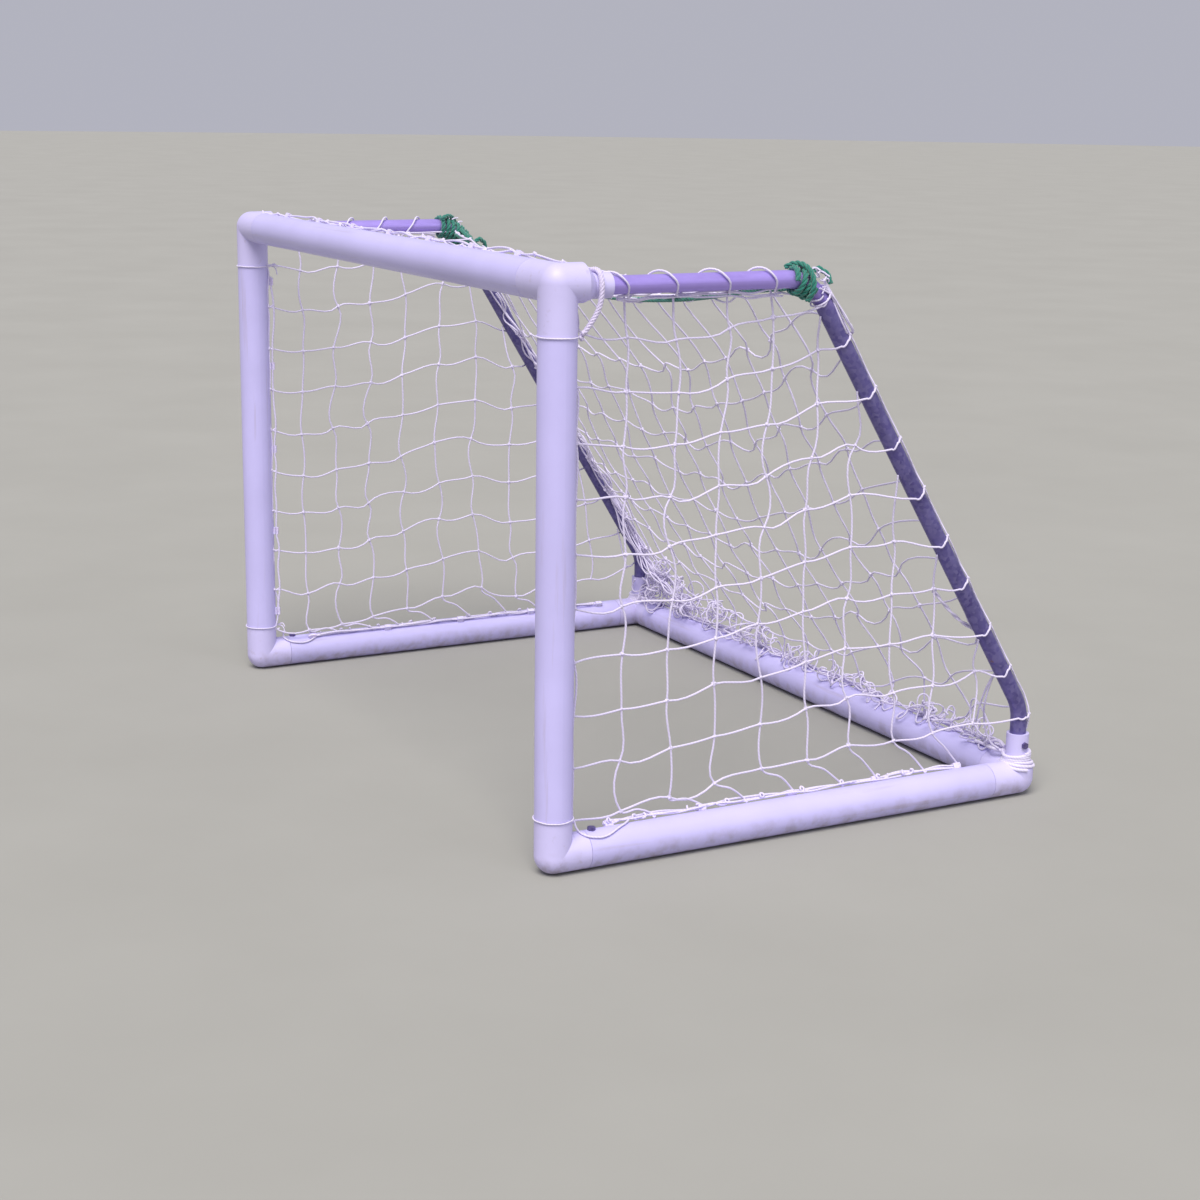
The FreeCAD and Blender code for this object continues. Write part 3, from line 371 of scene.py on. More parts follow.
# where the cord is slack between two clips, and how far it stands out there
slack_at = (0.3, 0.55, 0.8)
slack_out = (-0.001, 0.006)
for bar in bars:
    low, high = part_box(bar + "_lacing_cord")
    clip_low, clip_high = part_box(bar + "_net_clips")
    tube_low, tube_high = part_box(bar)
    axis = max(range(3), key=lambda number: (high - low)[number])
    middle = (low + high) / 2
    first = clip_low[axis] + clip_length / 2
    last = clip_high[axis] - clip_length / 2
    gaps = round((last - first) / clip_pitch)
    outward = middle - (tube_low + tube_high) / 2
    outward[axis] = 0
    outward.normalize()
    points = []
    for number in range(gaps + 1):
        along_bar = first + number * clip_pitch
        for step in (-0.5, 0.5):
            spot = middle.copy()
            spot[axis] = along_bar + step * clip_length
            points.append(spot)
        if number < gaps:
            for share in slack_at:
                spot = middle.copy()
                spot[axis] = along_bar + share * clip_pitch
                points.append(spot + outward * random.uniform(*slack_out))
    cord = draw_lines(bar + "_lacing", [points], lacing_width)
    knots = copy_knots(tie_knot(lacing_width), [points[0], points[-1]])
    finish_piece(join_all(bar + "_lacing", [cord] + knots), lacing_finish, "tie_cord", bar + "_lacing_cord")

# ---------------------------------------------------------------- side nets
# White twine knotted into meshes a hand wide, one panel on each side, held by the lacing at its front and foot.
# Its border twine winds round the stanchion's level leg and runs down the fall, hooked to the end of each row.
stanchion_low, stanchion_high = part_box("right_stanchion")
stanchion_radius = (stanchion_high.x - stanchion_low.x) / 2
leg_z = stanchion_high.z - stanchion_radius
roof_depth = 0.5
lower_bend_height = 0.177
bend_radius = 0.096
twine_width = 0.004
clearance = 0.0003
fall_top_y = front_y + roof_depth
fall_angle = math.atan2(leg_z - lower_bend_height, rear_y - fall_top_y)
top_tangent = bend_radius * math.tan(fall_angle / 2)
down_fall = Vector((0, math.cos(fall_angle), -math.sin(fall_angle)))
off_fall = Vector((0, math.sin(fall_angle), math.cos(fall_angle)))
net_x = post_x - stanchion_radius - clearance - twine_width
net_finish = cord_finish("net_twine_fibre", twine_colour, twine_shade, 0.007, twine_width)


def fall_spot(side_sign, height, turn, off=0.0):
    """A place on the outside of a fall at a height: turn 0 is its outer side, 90 its rear edge."""
    if height > lower_bend_height:
        axis_y = fall_top_y + (leg_z - height) / math.tan(fall_angle)
        rearward = off_fall
    else:
        axis_y = rear_y
        rearward = Vector((0, 1, 0))
    reach = stanchion_radius + clearance + twine_width / 2 + off
    outer = Vector((side_sign, 0, 0)) * math.cos(math.radians(turn)) * reach
    behind = rearward * math.sin(math.radians(turn)) * reach
    return Vector((side_sign * post_x, axis_y, height)) + outer + behind


# how far a knot's slant reaches into the twine on either side of it
slant_reach = 0.36


def held(spots, turns, normal, droop):
    """A run of twine through knots that each hold it at a slant, so that it bows one way and then the other."""
    line = []
    for number, (spot, turn) in enumerate(zip(spots, turns)):
        before = spots[max(number - 1, 0)]
        after = spots[min(number + 1, len(spots) - 1)]
        heading = (after - before).normalized()
        heading.rotate(Quaternion(normal, turn))
        hang = Vector((0, 0, droop))
        line.append((spot, spot - heading * slant_reach * (spot - before).length - hang,
                     spot + heading * slant_reach * (after - spot).length - hang))
    return line


def knot_net(name, knots, normal, droop, slant, before_row={}, after_row={}, before_column={}, after_column={}):
    """Twine along every row and column of knots, with loose ends where they are given, and the knots."""
    turns = {key: random.gauss(0, slant) for key in knots}
    lines = []
    for number in sorted({key[1] for key in knots}):
        keys = sorted(key for key in knots if key[1] == number)
        start, end = before_row.get(number, []), after_row.get(number, [])
        spots = start + [knots[key] for key in keys] + end
        slants = [0] * len(start) + [turns[key] for key in keys] + [0] * len(end)
        lines.append(held(spots, slants, normal, droop))
    for number in sorted({key[0] for key in knots}):
        keys = sorted((key for key in knots if key[0] == number), key=lambda key: key[1])
        start, end = before_column.get(number, []), after_column.get(number, [])
        spots = start + [knots[key] for key in keys] + end
        slants = [0] * len(start) + [turns[key] for key in keys] + [0] * len(end)
        lines.append(held(spots, slants, normal, 0))
    twine = draw_lines(name, [line for line in lines if len(line) > 1], twine_width, smooth=5)
    return [twine] + copy_knots(tie_knot(twine_width * 1.2), knots.values())


# each net's first column and lowest row, its pitches, how each row lifts from column to column,
# and the first row's loop over the front corner
side_nets = {
    "left": dict(sign=-1, front=-0.484, pitch=0.0795, widen=0.0015, foot=0.096, row=0.0947, dip=0.0,
                 lift=(0, -0.014, -0.005, 0.003, 0.015, 0.036, 0.046, 0.02, 0.03, 0.045, 0.06, 0.065),
                 corner_loop=((0.020, 0.050, 0.088), (0.014, 0.049, 0.074), (0.022, 0.058, 0.064),
                              (0.028, 0.080, 0.058), (0.028, 0.105, 0.058), (0.020, 0.130, 0.067),
                              (0.014, 0.148, 0.071))),
    "right": dict(sign=1, front=-0.462, pitch=0.098, widen=0.0, foot=0.083, row=0.0965, dip=0.0045,
                  lift=(0, 0.008, 0.018, 0.03, 0.036, 0.046, 0.06, 0.06, 0.06, 0.07, 0.078, 0.08),
                  corner_loop=((-0.020, 0.051, 0.084), (-0.004, 0.049, 0.073), (0.016, 0.053, 0.0675),
                               (0.024, 0.074, 0.0622), (0.0245, 0.092, 0.0618), (0.012, 0.126, 0.0695),
                               (-0.001, 0.148, 0.0718), (-0.014, 0.160, 0.0725))),
}
side_rows = 9
dip_columns = 5.4
bow_depth = 0.018
bow_rows = 8
bow_columns = 5
short_of_fall = 0.028
short_of_rear = 0.16
lace_start = 0.13
lace_run = 0.75
lace_steps = 18
leg_steps = 10
foot_curls = 9
lacing_low, lacing_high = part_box("right_ground_bar_lacing_cord")
lacing_spot = (lacing_low + lacing_high) / 2
for side, net in side_nets.items():
    sign = net["sign"]
    knots = {}
    last_height = {}
    for row in range(side_rows + 1):
        for column in range(len(net["lift"])):
            place_y = net["front"] + net["pitch"] * column + net["widen"] * column ** 2
            sag = net["dip"] * row * math.sin(math.pi * min(1, column / dip_columns))
            height = net["foot"] + net["row"] * row + net["lift"][column] - sag
            last_height[row] = height
            bow = bow_depth * math.sin(math.pi * min(row, bow_rows) / bow_rows)
            bow = bow * min(column, bow_columns) / bow_columns
            spot = Vector((sign * net_x, place_y - bow, height))
            if spot.y > fall_spot(sign, height, -90).y - short_of_fall:
                break
            if column:
                spot += Vector((wobble(0.004), wobble(0.005), wobble(0.005)))
            knots[column, row] = spot
    after_row = {}
    before_row = {}
    for row, height in last_height.items():
        # each row's end goes half round the fall
        after_row[row] = [fall_spot(sign, height - 0.003, -40), fall_spot(sign, height + wobble(0.003), 10),
                          fall_spot(sign, height + 0.003, 50, 0.001)]
        front_spot = Vector((sign * net_x, front_y + tube_radius + 0.004, knots[0, row].z + wobble(0.004)))
        before_row[row] = [front_spot]
    before_column = {}
    after_column = {}
    for column in sorted({key[0] for key in knots}):
        low_knot = knots[column, 0]
        high_row = max(row for found, row in knots if found == column)
        high_knot = knots[column, high_row]
        if 0 < column and low_knot.y < rear_y - short_of_rear:
            # each column's foot is hitched over the lacing
            foot = Vector((sign * lacing_spot.x, low_knot.y + random.uniform(0.06, 0.08), lacing_spot.z + 0.004))
            before_column[column] = [
                foot + Vector((0, 0.008, -0.003)), foot + Vector((sign * 0.005, 0.002, -0.006)), foot,
                foot.lerp(low_knot, 0.45) + Vector((0, wobble(0.004), 0.006)),
            ]
        if high_row == side_rows and high_knot.y < fall_top_y - top_tangent:
            after_column[column] = [Vector((high_knot.x, high_knot.y - 0.008, leg_z - 0.021 + wobble(0.002)))]
        else:
            roof_height = leg_z - (high_knot.y - fall_top_y) * math.tan(fall_angle)
            after_column[column] = [fall_spot(sign, max(high_knot.z + 0.02, min(roof_height, leg_z - 0.03)), -80)]
    pieces = knot_net(f"{side}_side_net", knots, Vector((1, 0, 0)), 0.004, 0.3,
                      before_row=before_row, after_row=after_row,
                      before_column=before_column, after_column=after_column)
    extra = []
    # the border twine, round the level leg
    spiral = []
    under_leg = [spots[0] for column, spots in after_column.items() if spots[0].y < fall_top_y - top_tangent]
    under_leg = sorted(under_leg, key=lambda spot: spot.y)
    for spot, following in zip(under_leg, under_leg[1:] + [under_leg[-1] + Vector((0, 0.08, 0))]):
        step = following.y - spot.y
        middle = Vector((sign * post_x, spot.y, leg_z))
        reach = stanchion_radius + 0.003
        spiral += [
            Vector((sign * (post_x - 0.006), spot.y, leg_z - reach - 0.003)),
            middle + Vector((-sign * reach, 0.30 * step, 0)),
            middle + Vector((-sign * 0.004, 0.58 * step, reach + 0.003)),
            middle + Vector((sign * reach, 0.82 * step, 0.006)),
        ]
    extra.append(spiral)
    # slack border twines along the underside of the leg
    for drop in (0.019, 0.024, 0.028):
        start_y = front_y + 0.115
        run = []
        for step in range(leg_steps + 1):
            along_leg = start_y + (fall_top_y - top_tangent - start_y) * step / leg_steps
            run.append(Vector((sign * (post_x - 0.008 + wobble(0.006)), along_leg, leg_z - drop + wobble(0.004))))
        extra.append(run)
    # border twine down the rear edge of the fall, hooked from row to row
    border = []
    hooks = []
    for row in range(side_rows, -1, -1):
        height = last_height[row]
        hooks.append(fall_spot(sign, height + 0.003, 52, 0.001))
        border += [fall_spot(sign, height + 0.028, 78 + wobble(8), 0.0005), hooks[-1],
                   fall_spot(sign, height - 0.03, 80 + wobble(14), 0.0005)]
    extra.append(border)
    pieces += copy_knots(tie_knot(twine_width), hooks)
    # slack border twines along the foot, and the first row's loop over the front corner
    for number in range(2):
        run = []
        for step in range(lace_steps + 1):
            along_bar = front_y + lace_start + lace_run * step / lace_steps
            run.append(Vector((sign * (lacing_spot.x + 0.004 + wobble(0.006)), along_bar,
                               lacing_spot.z + 0.001 + wobble(0.003))))
        extra.append(run)
    extra.append([Vector((sign * post_x + across, front_y + along_bar, height))
                  for across, along_bar, height in net["corner_loop"]])
    # small curls where the feet are gathered on the lacing
    for number in range(foot_curls):
        middle_y = front_y + 0.1 + lace_run * number / foot_curls + wobble(0.02)
        curl = []
        for step in range(6):
            angle = step * 1.3 + number
            curl.append(Vector((sign * (lacing_spot.x + 0.004 + 0.003 * math.cos(2 * angle)),
                                middle_y + 0.008 * math.cos(angle) + 0.004 * step,
                                lacing_spot.z + 0.004 + 0.005 * math.sin(angle))))
        extra.append(curl)
    pieces.append(draw_lines("side_border", extra, twine_width, smooth=5))
    finish_piece(join_all(f"{side}_side_net", pieces), net_finish, "net_twine", f"net_{side}_side")

# ---------------------------------------------------------------- roof net
# The same knotted twine over the top, laced to the crossbar in front and hung on the rope at the back.
# The rope is slung between the stanchions and sags most in the middle, and the net with it.
random.seed(21)
ROPE_ROUTE = [
    (-0.738, 0, -0.018), (-0.6, 0.001, -0.041), (-0.445, 0.003, -0.065), (-0.285, 0.001, -0.084),
    (-0.12, -0.002, -0.097), (0.045, -0.002, -0.098), (0.21, 0, -0.088), (0.37, 0.003, -0.071),
    (0.52, 0.002, -0.047), (0.64, 0.001, -0.029), (0.738, 0, -0.018),
]
rope_y = fall_top_y - top_tangent + bend_radius * math.sin(fall_angle / 2)


def rope_drop(across):
    """How far below the legs the rope hangs at a place across the goal."""
    for (near_x, _, near_z), (far_x, _, far_z) in zip(ROPE_ROUTE, ROPE_ROUTE[1:]):
        if across <= far_x:
            return -near_z - (far_z - near_z) * max(0, across - near_x) / (far_x - near_x)
    return -ROPE_ROUTE[-1][2]


roof_columns = 15
roof_rows = 4
roof_sag = 0.02
knots = {}
beam_lace_low, beam_lace_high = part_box("crossbar_lacing_cord")
for column in range(roof_columns + 1):
    across = net_x * (2 * column / roof_columns - 1)
    rear_height = leg_z - rope_drop(across)
    for row in range(roof_rows + 1):
        share = row / roof_rows
        front = Vector((across, (beam_lace_low.y + beam_lace_high.y) / 2, beam_lace_low.z))
        rear = Vector((across, rope_y, rear_height + 0.006))
        sag = roof_sag * math.sin(math.pi * share)
        spot = front.lerp(rear, share) - Vector((0, 0, sag))
        knots[column, row] = spot + (shake(0.006) if 0 < column < roof_columns else Vector())
pieces = knot_net("roof_net", knots, Vector((0, 0, 1)), 0.005, 0.35)
finish_piece(join_all("roof_net", pieces), net_finish, "net_twine", "net_roof")

# ---------------------------------------------------------------- back net
# The same net from the rope down to the rear bar's lacing. It has slipped down the left fall, where its edge
# is gathered into a bunch, so every row sags from the right fall down to the left.
random.seed(31)
back_columns = 17
back_rows = 12
back_pitch = 0.104
row_drop = 0.079
right_edge = 0.742
left_edge = -0.736
pulled_left = 0.13
bunching = 0.1
slip_depth = 0.19
belly_depth = 0.035
bunch_foot = 0.1
knots = {}
bar_lace_low, bar_lace_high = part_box("rear_ground_bar_lacing_cord")
bar_top = Vector((0, (bar_lace_low.y + bar_lace_high.y) / 2, bar_lace_high.z))


def slip(across):
    """How much lower a row lies across the goal than at its right end."""
    share = min(1, max(0, (0.74 - across) / 0.86))
    return slip_depth * math.sin(share * math.pi / 2) ** 1.15


for column in range(back_columns + 1):
    from_right = back_columns - column
    for row in range(back_rows + 1):
        slack = 1 - math.exp(-from_right / 1.4)
        across = right_edge - back_pitch * from_right
        across -= pulled_left * slack * (1 - math.exp(-row * row_drop / 0.35))
        # the columns crowd together at the left fall and don't pass it
        across = left_edge + bunching * math.log(1 + math.exp((across - left_edge) / bunching))
        low_down = slip(across) * min(1, 0.45 + row * 0.6) if row else 0
        height = leg_z + 0.012 - row_drop * row - low_down
        belly = math.sin(math.pi * min(1, max(0, (across + 0.75) / 1.5)))
        if row == 0:
            height = leg_z - rope_drop(across) + 0.004
        spot = Vector((across, fall_top_y + (leg_z - height) / math.tan(fall_angle), height))
        if row == 0:
            spot.y = rope_y
        spot -= off_fall * belly_depth * belly * math.sin(math.pi * row / back_rows)
        if height < bunch_foot:
            spot = Vector((across, bar_top.y - 0.012 + wobble(0.008), bar_top.z + 0.006 + wobble(0.003)))
        if 0 < row and 0 < from_right:
            spot += Vector((wobble(0.008), wobble(0.006), wobble(0.008)))
        knots[column, row] = spot
        if height < bunch_foot:
            break
after_row = {}
for row in range(1, back_rows + 1):
    if (back_columns, row) in knots:
        end = knots[back_columns, row]
        after_row[row] = [fall_spot(1, max(end.z, 0.13), 180, 0.0)]
pieces = knot_net("back_net", knots, off_fall, 0.006, 0.42, after_row=after_row)
# slack twine of the gathered edge, wandering down beside the left fall
extra = []
edge_twines = 6
edge_step = 0.034
edge_length = 1.02
edge_low = 0.11
for number in range(edge_twines):
    line = []
    start = 0.05 + 0.13 * number
    offset = 0.026 + 0.006 * number
    for step in range(round((edge_length - start) / edge_step)):
        spot = Vector((-post_x, fall_top_y, leg_z)) + down_fall * (start + edge_step * step)
        if spot.z < edge_low:
            break
        aside = offset + 0.011 * math.sin(1.9 * step + number) + wobble(0.008)
        line.append(spot + Vector((aside, wobble(0.01), wobble(0.01))))
    extra.append(line)
# slack twine from the left fall down into the heap on the rear bar
fan_twines = 9
for number in range(fan_twines):
    start = fall_spot(-1, 0.36 - 0.026 * number, 180, 0.006)
    end = Vector((-0.66 + 0.05 * number, bar_top.y - 0.012, bar_top.z + 0.06 - 0.006 * number))
    line = []
    for step in range(8):
        spot = start.lerp(end, step / 7)
        spot.z -= 0.05 * math.sin(math.pi * step / 7)
        line.append(spot + shake(0.009))
    extra.append(line)
pieces.append(draw_lines("gathered_edge", extra, twine_width, smooth=4))
# a twisted tie that hangs off the right edge, and a long slack loop under it
tie_diameter = 0.0042
tie_steps = 18
tie_twist = 16
tie_top = Vector((net_x - 0.005, 0.312, 0.424))
tie_foot = fall_spot(1, 0.33, 165, 0.002)
tie = []
for strand in range(2):
    line = []
    for step in range(tie_steps + 1):
        share = step / tie_steps
        spot = tie_top.lerp(tie_foot, share)
        spot.z -= 0.012 * math.sin(math.pi * share)
        angle = math.pi * strand + share * tie_twist
        line.append(spot + Vector((math.cos(angle), 0, math.sin(angle))) * 0.0024)
    tie.append(line)
pieces.append(draw_lines("twisted_tie", tie, tie_diameter, smooth=3))
loop_top = knots[back_columns, 10]
slack_loops = [
    [loop_top] + [Vector(spot) for spot in (
        (0.728, 0.462, 0.215), (0.708, 0.462, 0.168), (0.690, 0.470, 0.135),
        (0.668, 0.478, 0.120), (0.655, 0.482, 0.145), (0.668, 0.478, 0.172), (0.696, 0.474, 0.165),
        (0.716, 0.478, 0.138), (0.722, 0.484, 0.110),
    )],
    [loop_top] + [Vector(spot) for spot in (
        (0.734, 0.464, 0.220), (0.724, 0.462, 0.180), (0.706, 0.476, 0.150),
        (0.700, 0.486, 0.118), (0.712, 0.492, 0.092), (0.738, 0.492, 0.086),
    )],
]
pieces.append(draw_lines("slack_loops", slack_loops, twine_width, smooth=5))
pieces += copy_knots(tie_knot(0.0046), [loop_top, tie_top, tie_foot])
finish_piece(join_all("back_net", pieces), net_finish, "net_twine", "net_back")

# ---------------------------------------------------------------- slack foot of the back net
# The back net is longer than its slope, so its foot lies crumpled along the rear bar in small springy curls.
# Most of it has slid to the left corner; the rest lies in low clumps between the clips.
random.seed(5)
# each from one place across the goal to another, so high, and holding so much twine
clumps = (
    (-0.742, -0.600, 0.120, 3.0), (-0.70, -0.50, 0.085, 2.8), (-0.56, -0.34, 0.060, 2.6),
    (-0.40, -0.16, 0.042, 2.1), (-0.20, -0.02, 0.022, 0.7), (-0.06, 0.12, 0.036, 1.5), (0.09, 0.27, 0.030, 1.3),
    (0.27, 0.46, 0.022, 1.0), (0.45, 0.66, 0.036, 1.9), (0.63, 0.72, 0.020, 0.6),
)
twines_a_clump = 9
curl_step = 0.0105
# how far the twine turns at each step, and how strongly the clump's edge turns it back
curl_turn = (0.28, 0.72)
turned_back = 0.55
axis_drift = 0.45
bar_gap = tube_radius + twine_width / 2 + clearance


def random_way():
    """A random direction."""
    return Vector((random.gauss(0, 1), random.gauss(0, 1), random.gauss(0, 1))).normalized()


def crumple(x_from, x_to, height, length):
    """Twine that curls about inside a low heap on top of the rear bar."""
    middle = Vector(((x_from + x_to) / 2, rear_y - 0.002, bar_z + tube_radius + height / 2))
    reach = Vector(((x_to - x_from) / 2, 0.022 + height / 8, height / 2 + 0.004))
    spot = middle + Vector((wobble(reach.x), wobble(0.01), wobble(height / 3)))
    heading = random_way()
    axis = random_way()
    line = []
    for step in range(round(length / curl_step)):
        axis = (axis + axis_drift * random_way()).normalized()
        heading.rotate(Quaternion(axis, random.uniform(*curl_turn)))
        away = spot - middle
        if abs(away.x) < reach.x:
            away.x = 0
        if sum((away[number] / reach[number]) ** 2 for number in range(3)) > 1:
            heading = (heading - turned_back * away.normalized()).normalized()
        spot = spot + heading * curl_step
        radial = Vector((0, spot.y - rear_y, spot.z - bar_z))
        if radial.length < bar_gap:
            spot += radial.normalized() * (bar_gap - radial.length)
        line.append(spot.copy())
    return line


heap_lines = []
for x_from, x_to, height, length in clumps:
    for part in range(twines_a_clump):
        heap_lines.append(crumple(x_from, x_to, height, length / twines_a_clump))
# the net's last rows lie along the bar from end to end
bar_twines = 3
bar_steps = 45
for number in range(bar_twines):
    line = []
    for step in range(bar_steps + 1):
        across = -0.70 + 1.42 * step / bar_steps
        line.append(Vector((across, bar_top.y - 0.006 + wobble(0.008), bar_top.z + 0.002 + wobble(0.004))))
    heap_lines.append(line)
heap = draw_lines("bunched_net_foot", heap_lines, twine_width, sides=4, smooth=3)
finish_piece(heap, net_finish, "net_twine", "net_heap")

# ---------------------------------------------------------------- ties and lashings of thin cord
# A turn of thin cord is tied round each upright at both its joints. Each rear socket is bound with thicker
# turns that spread down over the corner's cone, and their tails lie inwards along the rear bar.
random.seed(17)
tie_width = 0.0027
ring_steps = 16
tie_finish = cord_finish("tie_cord_fibre", twine_colour, twine_shade, 0.008, tie_width)
ties = []
tie_spots = []
tie_low, tie_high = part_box("upright_ties")
for sign in (-1, 1):
    for height in (tie_low.z + tie_width / 2, tie_high.z - tie_width / 2):
        ring = []
        for step in range(ring_steps + 1):
            angle = 2 * math.pi * step / ring_steps
            reach = tube_radius + clearance + tie_width / 2
            ring.append(Vector((sign * post_x + reach * math.sin(angle), front_y + reach * math.cos(angle),
                                height + (step / ring_steps - 0.5) * tie_width * 0.8 + wobble(0.0004))))
        ties.append(ring)
        knot_spot = Vector((sign * (post_x - 0.012), front_y + tube_radius + 0.004, height))
        tie_spots.append(knot_spot)
        for tail in (-1, 1):
            ties.append([knot_spot, knot_spot + Vector((-sign * 0.006, 0.008, 0.004 * tail)),
                         knot_spot + Vector((-sign * 0.010, 0.012, -0.012 + 0.008 * tail))])
pieces = [draw_lines("turns", ties, tie_width, sides=8)] + copy_knots(tie_knot(tie_width), tie_spots)
finish_piece(join_all("upright_cord_ties", pieces), tie_finish, "tie_cord", "upright_ties")

lash_low, lash_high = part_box("rear_socket_lashings")
lash_width = 0.0072
socket_radius = (lash_high.y - lash_low.y) / 2 - 0.004 - clearance
cone_length = 0.017
cone_top = lash_low.z - clearance
lash_top = lash_high.z - 0.003
lash_run = lash_high.z - cone_top + 0.011
lash_tilt = 0.003
lash_steps = 6 * 12
# each tail's way inwards: from the post's middle, behind the bar's middle, and up
lash_tails = (
    ((0.027, -0.012, 0.080), (0.045, -0.024, 0.082), (0.068, -0.016, 0.078), (0.092, -0.006, 0.0745),
     (0.118, -0.010, 0.0755)),
    ((0.028, -0.008, 0.088), (0.050, -0.006, 0.094), (0.078, -0.012, 0.084), (0.104, 0.004, 0.0745)),
)
coils = []
for sign in (-1, 1):
    coil = []
    for step in range(lash_steps + 1):
        angle = math.radians(step * 30)
        height = lash_top - lash_run * step / lash_steps + lash_tilt * math.sin(angle + step * 0.05)
        widening = min(1, max(0, (cone_top - height) / cone_length))
        surface = socket_radius + (tube_radius - socket_radius) * widening
        reach = surface + lash_width * 0.3 + 0.0003 + abs(wobble(0.0012))
        coil.append(Vector((sign * post_x + reach * math.cos(angle), rear_y + reach * math.sin(angle), height)))
    coils.append(coil)
    for tail in lash_tails:
        coils.append([Vector((sign * (post_x - inward), rear_y + behind, height))
                      for inward, behind, height in tail])
pieces = [draw_lines("coils", coils, lash_width, sides=8)]
pieces += copy_knots(tie_knot(lash_width), [coil[0] for coil in coils[1::3]])
finish_piece(join_all("socket_cord_lashings", pieces), tie_finish, "tie_cord", "rear_socket_lashings")

# ---------------------------------------------------------------- green rope under the ridge
# A thick green polypropylene rope, laid from three strands, slung between the stanchions' upper bends.
# It carries the net's top edge and sags with it; each end is wound round the bend and tucked in.
rope_colour = (0.0, 0.205, 0.15)
rope_shade = (0.0, 0.075, 0.07)
rope_finish = cord_finish("green_rope_fibre", rope_colour, rope_shade, 0.004, 0.004, fuzz=0.5)
rope_width = 0.011
rope_pitch = 0.034


def route_line(name, route, origin):
    """The smooth line of a hanging cord, read off a spline drawn through its route."""
    curve = bpy.data.curves.new(name, "CURVE")
    curve.dimensions = "3D"
    curve.resolution_u = 24
    spline = curve.splines.new("NURBS")
    spline.points.add(len(route) - 1)
    for point, spot in zip(spline.points, route):
        point.co = (*(Vector(spot) + origin), 1)
    spline.order_u = 3
    spline.use_endpoint_u = True
    guide = bpy.data.objects.new(name, curve)
    bpy.context.scene.collection.objects.link(guide)
    bpy.context.view_layer.update()
    line = [vertex.co.copy() for vertex in bpy.data.meshes.new_from_object(guide).vertices]
    bpy.data.objects.remove(guide)
    return line


def lay_rope(name, line, diameter, strands, pitch, sides=6):
    """Twists strands round a smooth line; gives the rope and the line's points."""
    steps_a_turn = 10
    travelled = [0.0]
    for start, end in zip(line, line[1:]):
        travelled.append(travelled[-1] + (end - start).length)
    steps = max(8, round(travelled[-1] / pitch * steps_a_turn))
    centre = []
    index = 0
    for step in range(steps + 1):
        reach = travelled[-1] * step / steps
        while index < len(line) - 2 and travelled[index + 1] < reach:
            index += 1
        share = (reach - travelled[index]) / max(1e-9, travelled[index + 1] - travelled[index])
        centre.append(line[index].lerp(line[index + 1], min(1, share)))
    side = (centre[1] - centre[0]).orthogonal().normalized()
    turned = []
    for number, spot in enumerate(centre):
        heading = (centre[min(number + 1, steps)] - centre[max(number - 1, 0)]).normalized()
        side = (side - heading * side.dot(heading)).normalized()
        turned.append((spot, side.copy(), heading.cross(side)))
    strand_lines = []
    width = diameter * 0.5
    for strand in range(strands):
        phase = 2 * math.pi * strand / strands
        twisted = []
        for number, (spot, side, other) in enumerate(turned):
            angle = phase + 2 * math.pi * travelled[-1] * number / steps / pitch
            offset = (diameter - width) / 2
            twisted.append(spot + (side * math.cos(angle) + other * math.sin(angle)) * offset)
        strand_lines.append(twisted)
    return draw_lines(name, strand_lines, width, sides=sides, smooth=1), centre


rope_line = route_line("rope_route", ROPE_ROUTE, Vector((0, rope_y, leg_z)))
rope, rope_path = lay_rope("support_rope", rope_line, rope_width, 3, rope_pitch, sides=8)
finish_piece(rope, rope_finish, "green_rope", "net_support_rope")

bend_centre = Vector((0, fall_top_y - top_tangent, leg_z - bend_radius))


def bend_spot(side_sign, round_bend, turn, off):
    """A place on the outside of an upper bend, from 0 at the level leg's end down on to the fall."""
    angle = math.radians(90) - fall_angle * min(1, max(0, round_bend))
    outward = Vector((0, math.cos(angle), math.sin(angle)))
    beyond = Vector()
    if round_bend < 0:
        beyond = Vector((0, round_bend * bend_radius * fall_angle, 0))
    if round_bend > 1:
        beyond = down_fall * (round_bend - 1) * bend_radius * fall_angle
    spot = bend_centre + outward * bend_radius + beyond + Vector((side_sign * post_x, 0, 0))
    reach = stanchion_radius + clearance + off
    return spot + (Vector((side_sign, 0, 0)) * math.cos(turn) + outward * math.sin(turn)) * reach


# half-hitched turns on the right bend; on the left they run on down the fall
random.seed(41)
rope_turns = []
crossing_steps = 14
# each side, how far round the bend its turns start and end, and how many there are
for sign, start, end, turns in ((-1, 0.12, 1.15, 8), (1, 0.12, 0.56, 3)):
    line = []
    for step in range(turns * 12 + 1):
        round_bend = start + (end - start) * step / (turns * 12)
        line.append(bend_spot(sign, round_bend, math.radians(step * 30), rope_width / 2 + 0.0006))
    rope_turns.append(line)
    # one turn crosses back over the others, and the cut end stands out
    crossing = []
    for step in range(crossing_steps + 1):
        share = step / crossing_steps
        turn = math.radians(200 * share - 60)
        crossing.append(bend_spot(sign, end - (end - start) * share, turn, rope_width * 1.25))
    rope_turns.append(crossing)
    tail_start = bend_spot(sign, end - 0.08, math.radians(105), rope_width * 0.8)
    rope_turns.append([tail_start] + [tail_start + Vector((sign * across, behind, up)) for across, behind, up in (
        (0.004, 0.014, 0.007), (0.010, 0.030, -0.003), (0.013, 0.034, -0.020))])
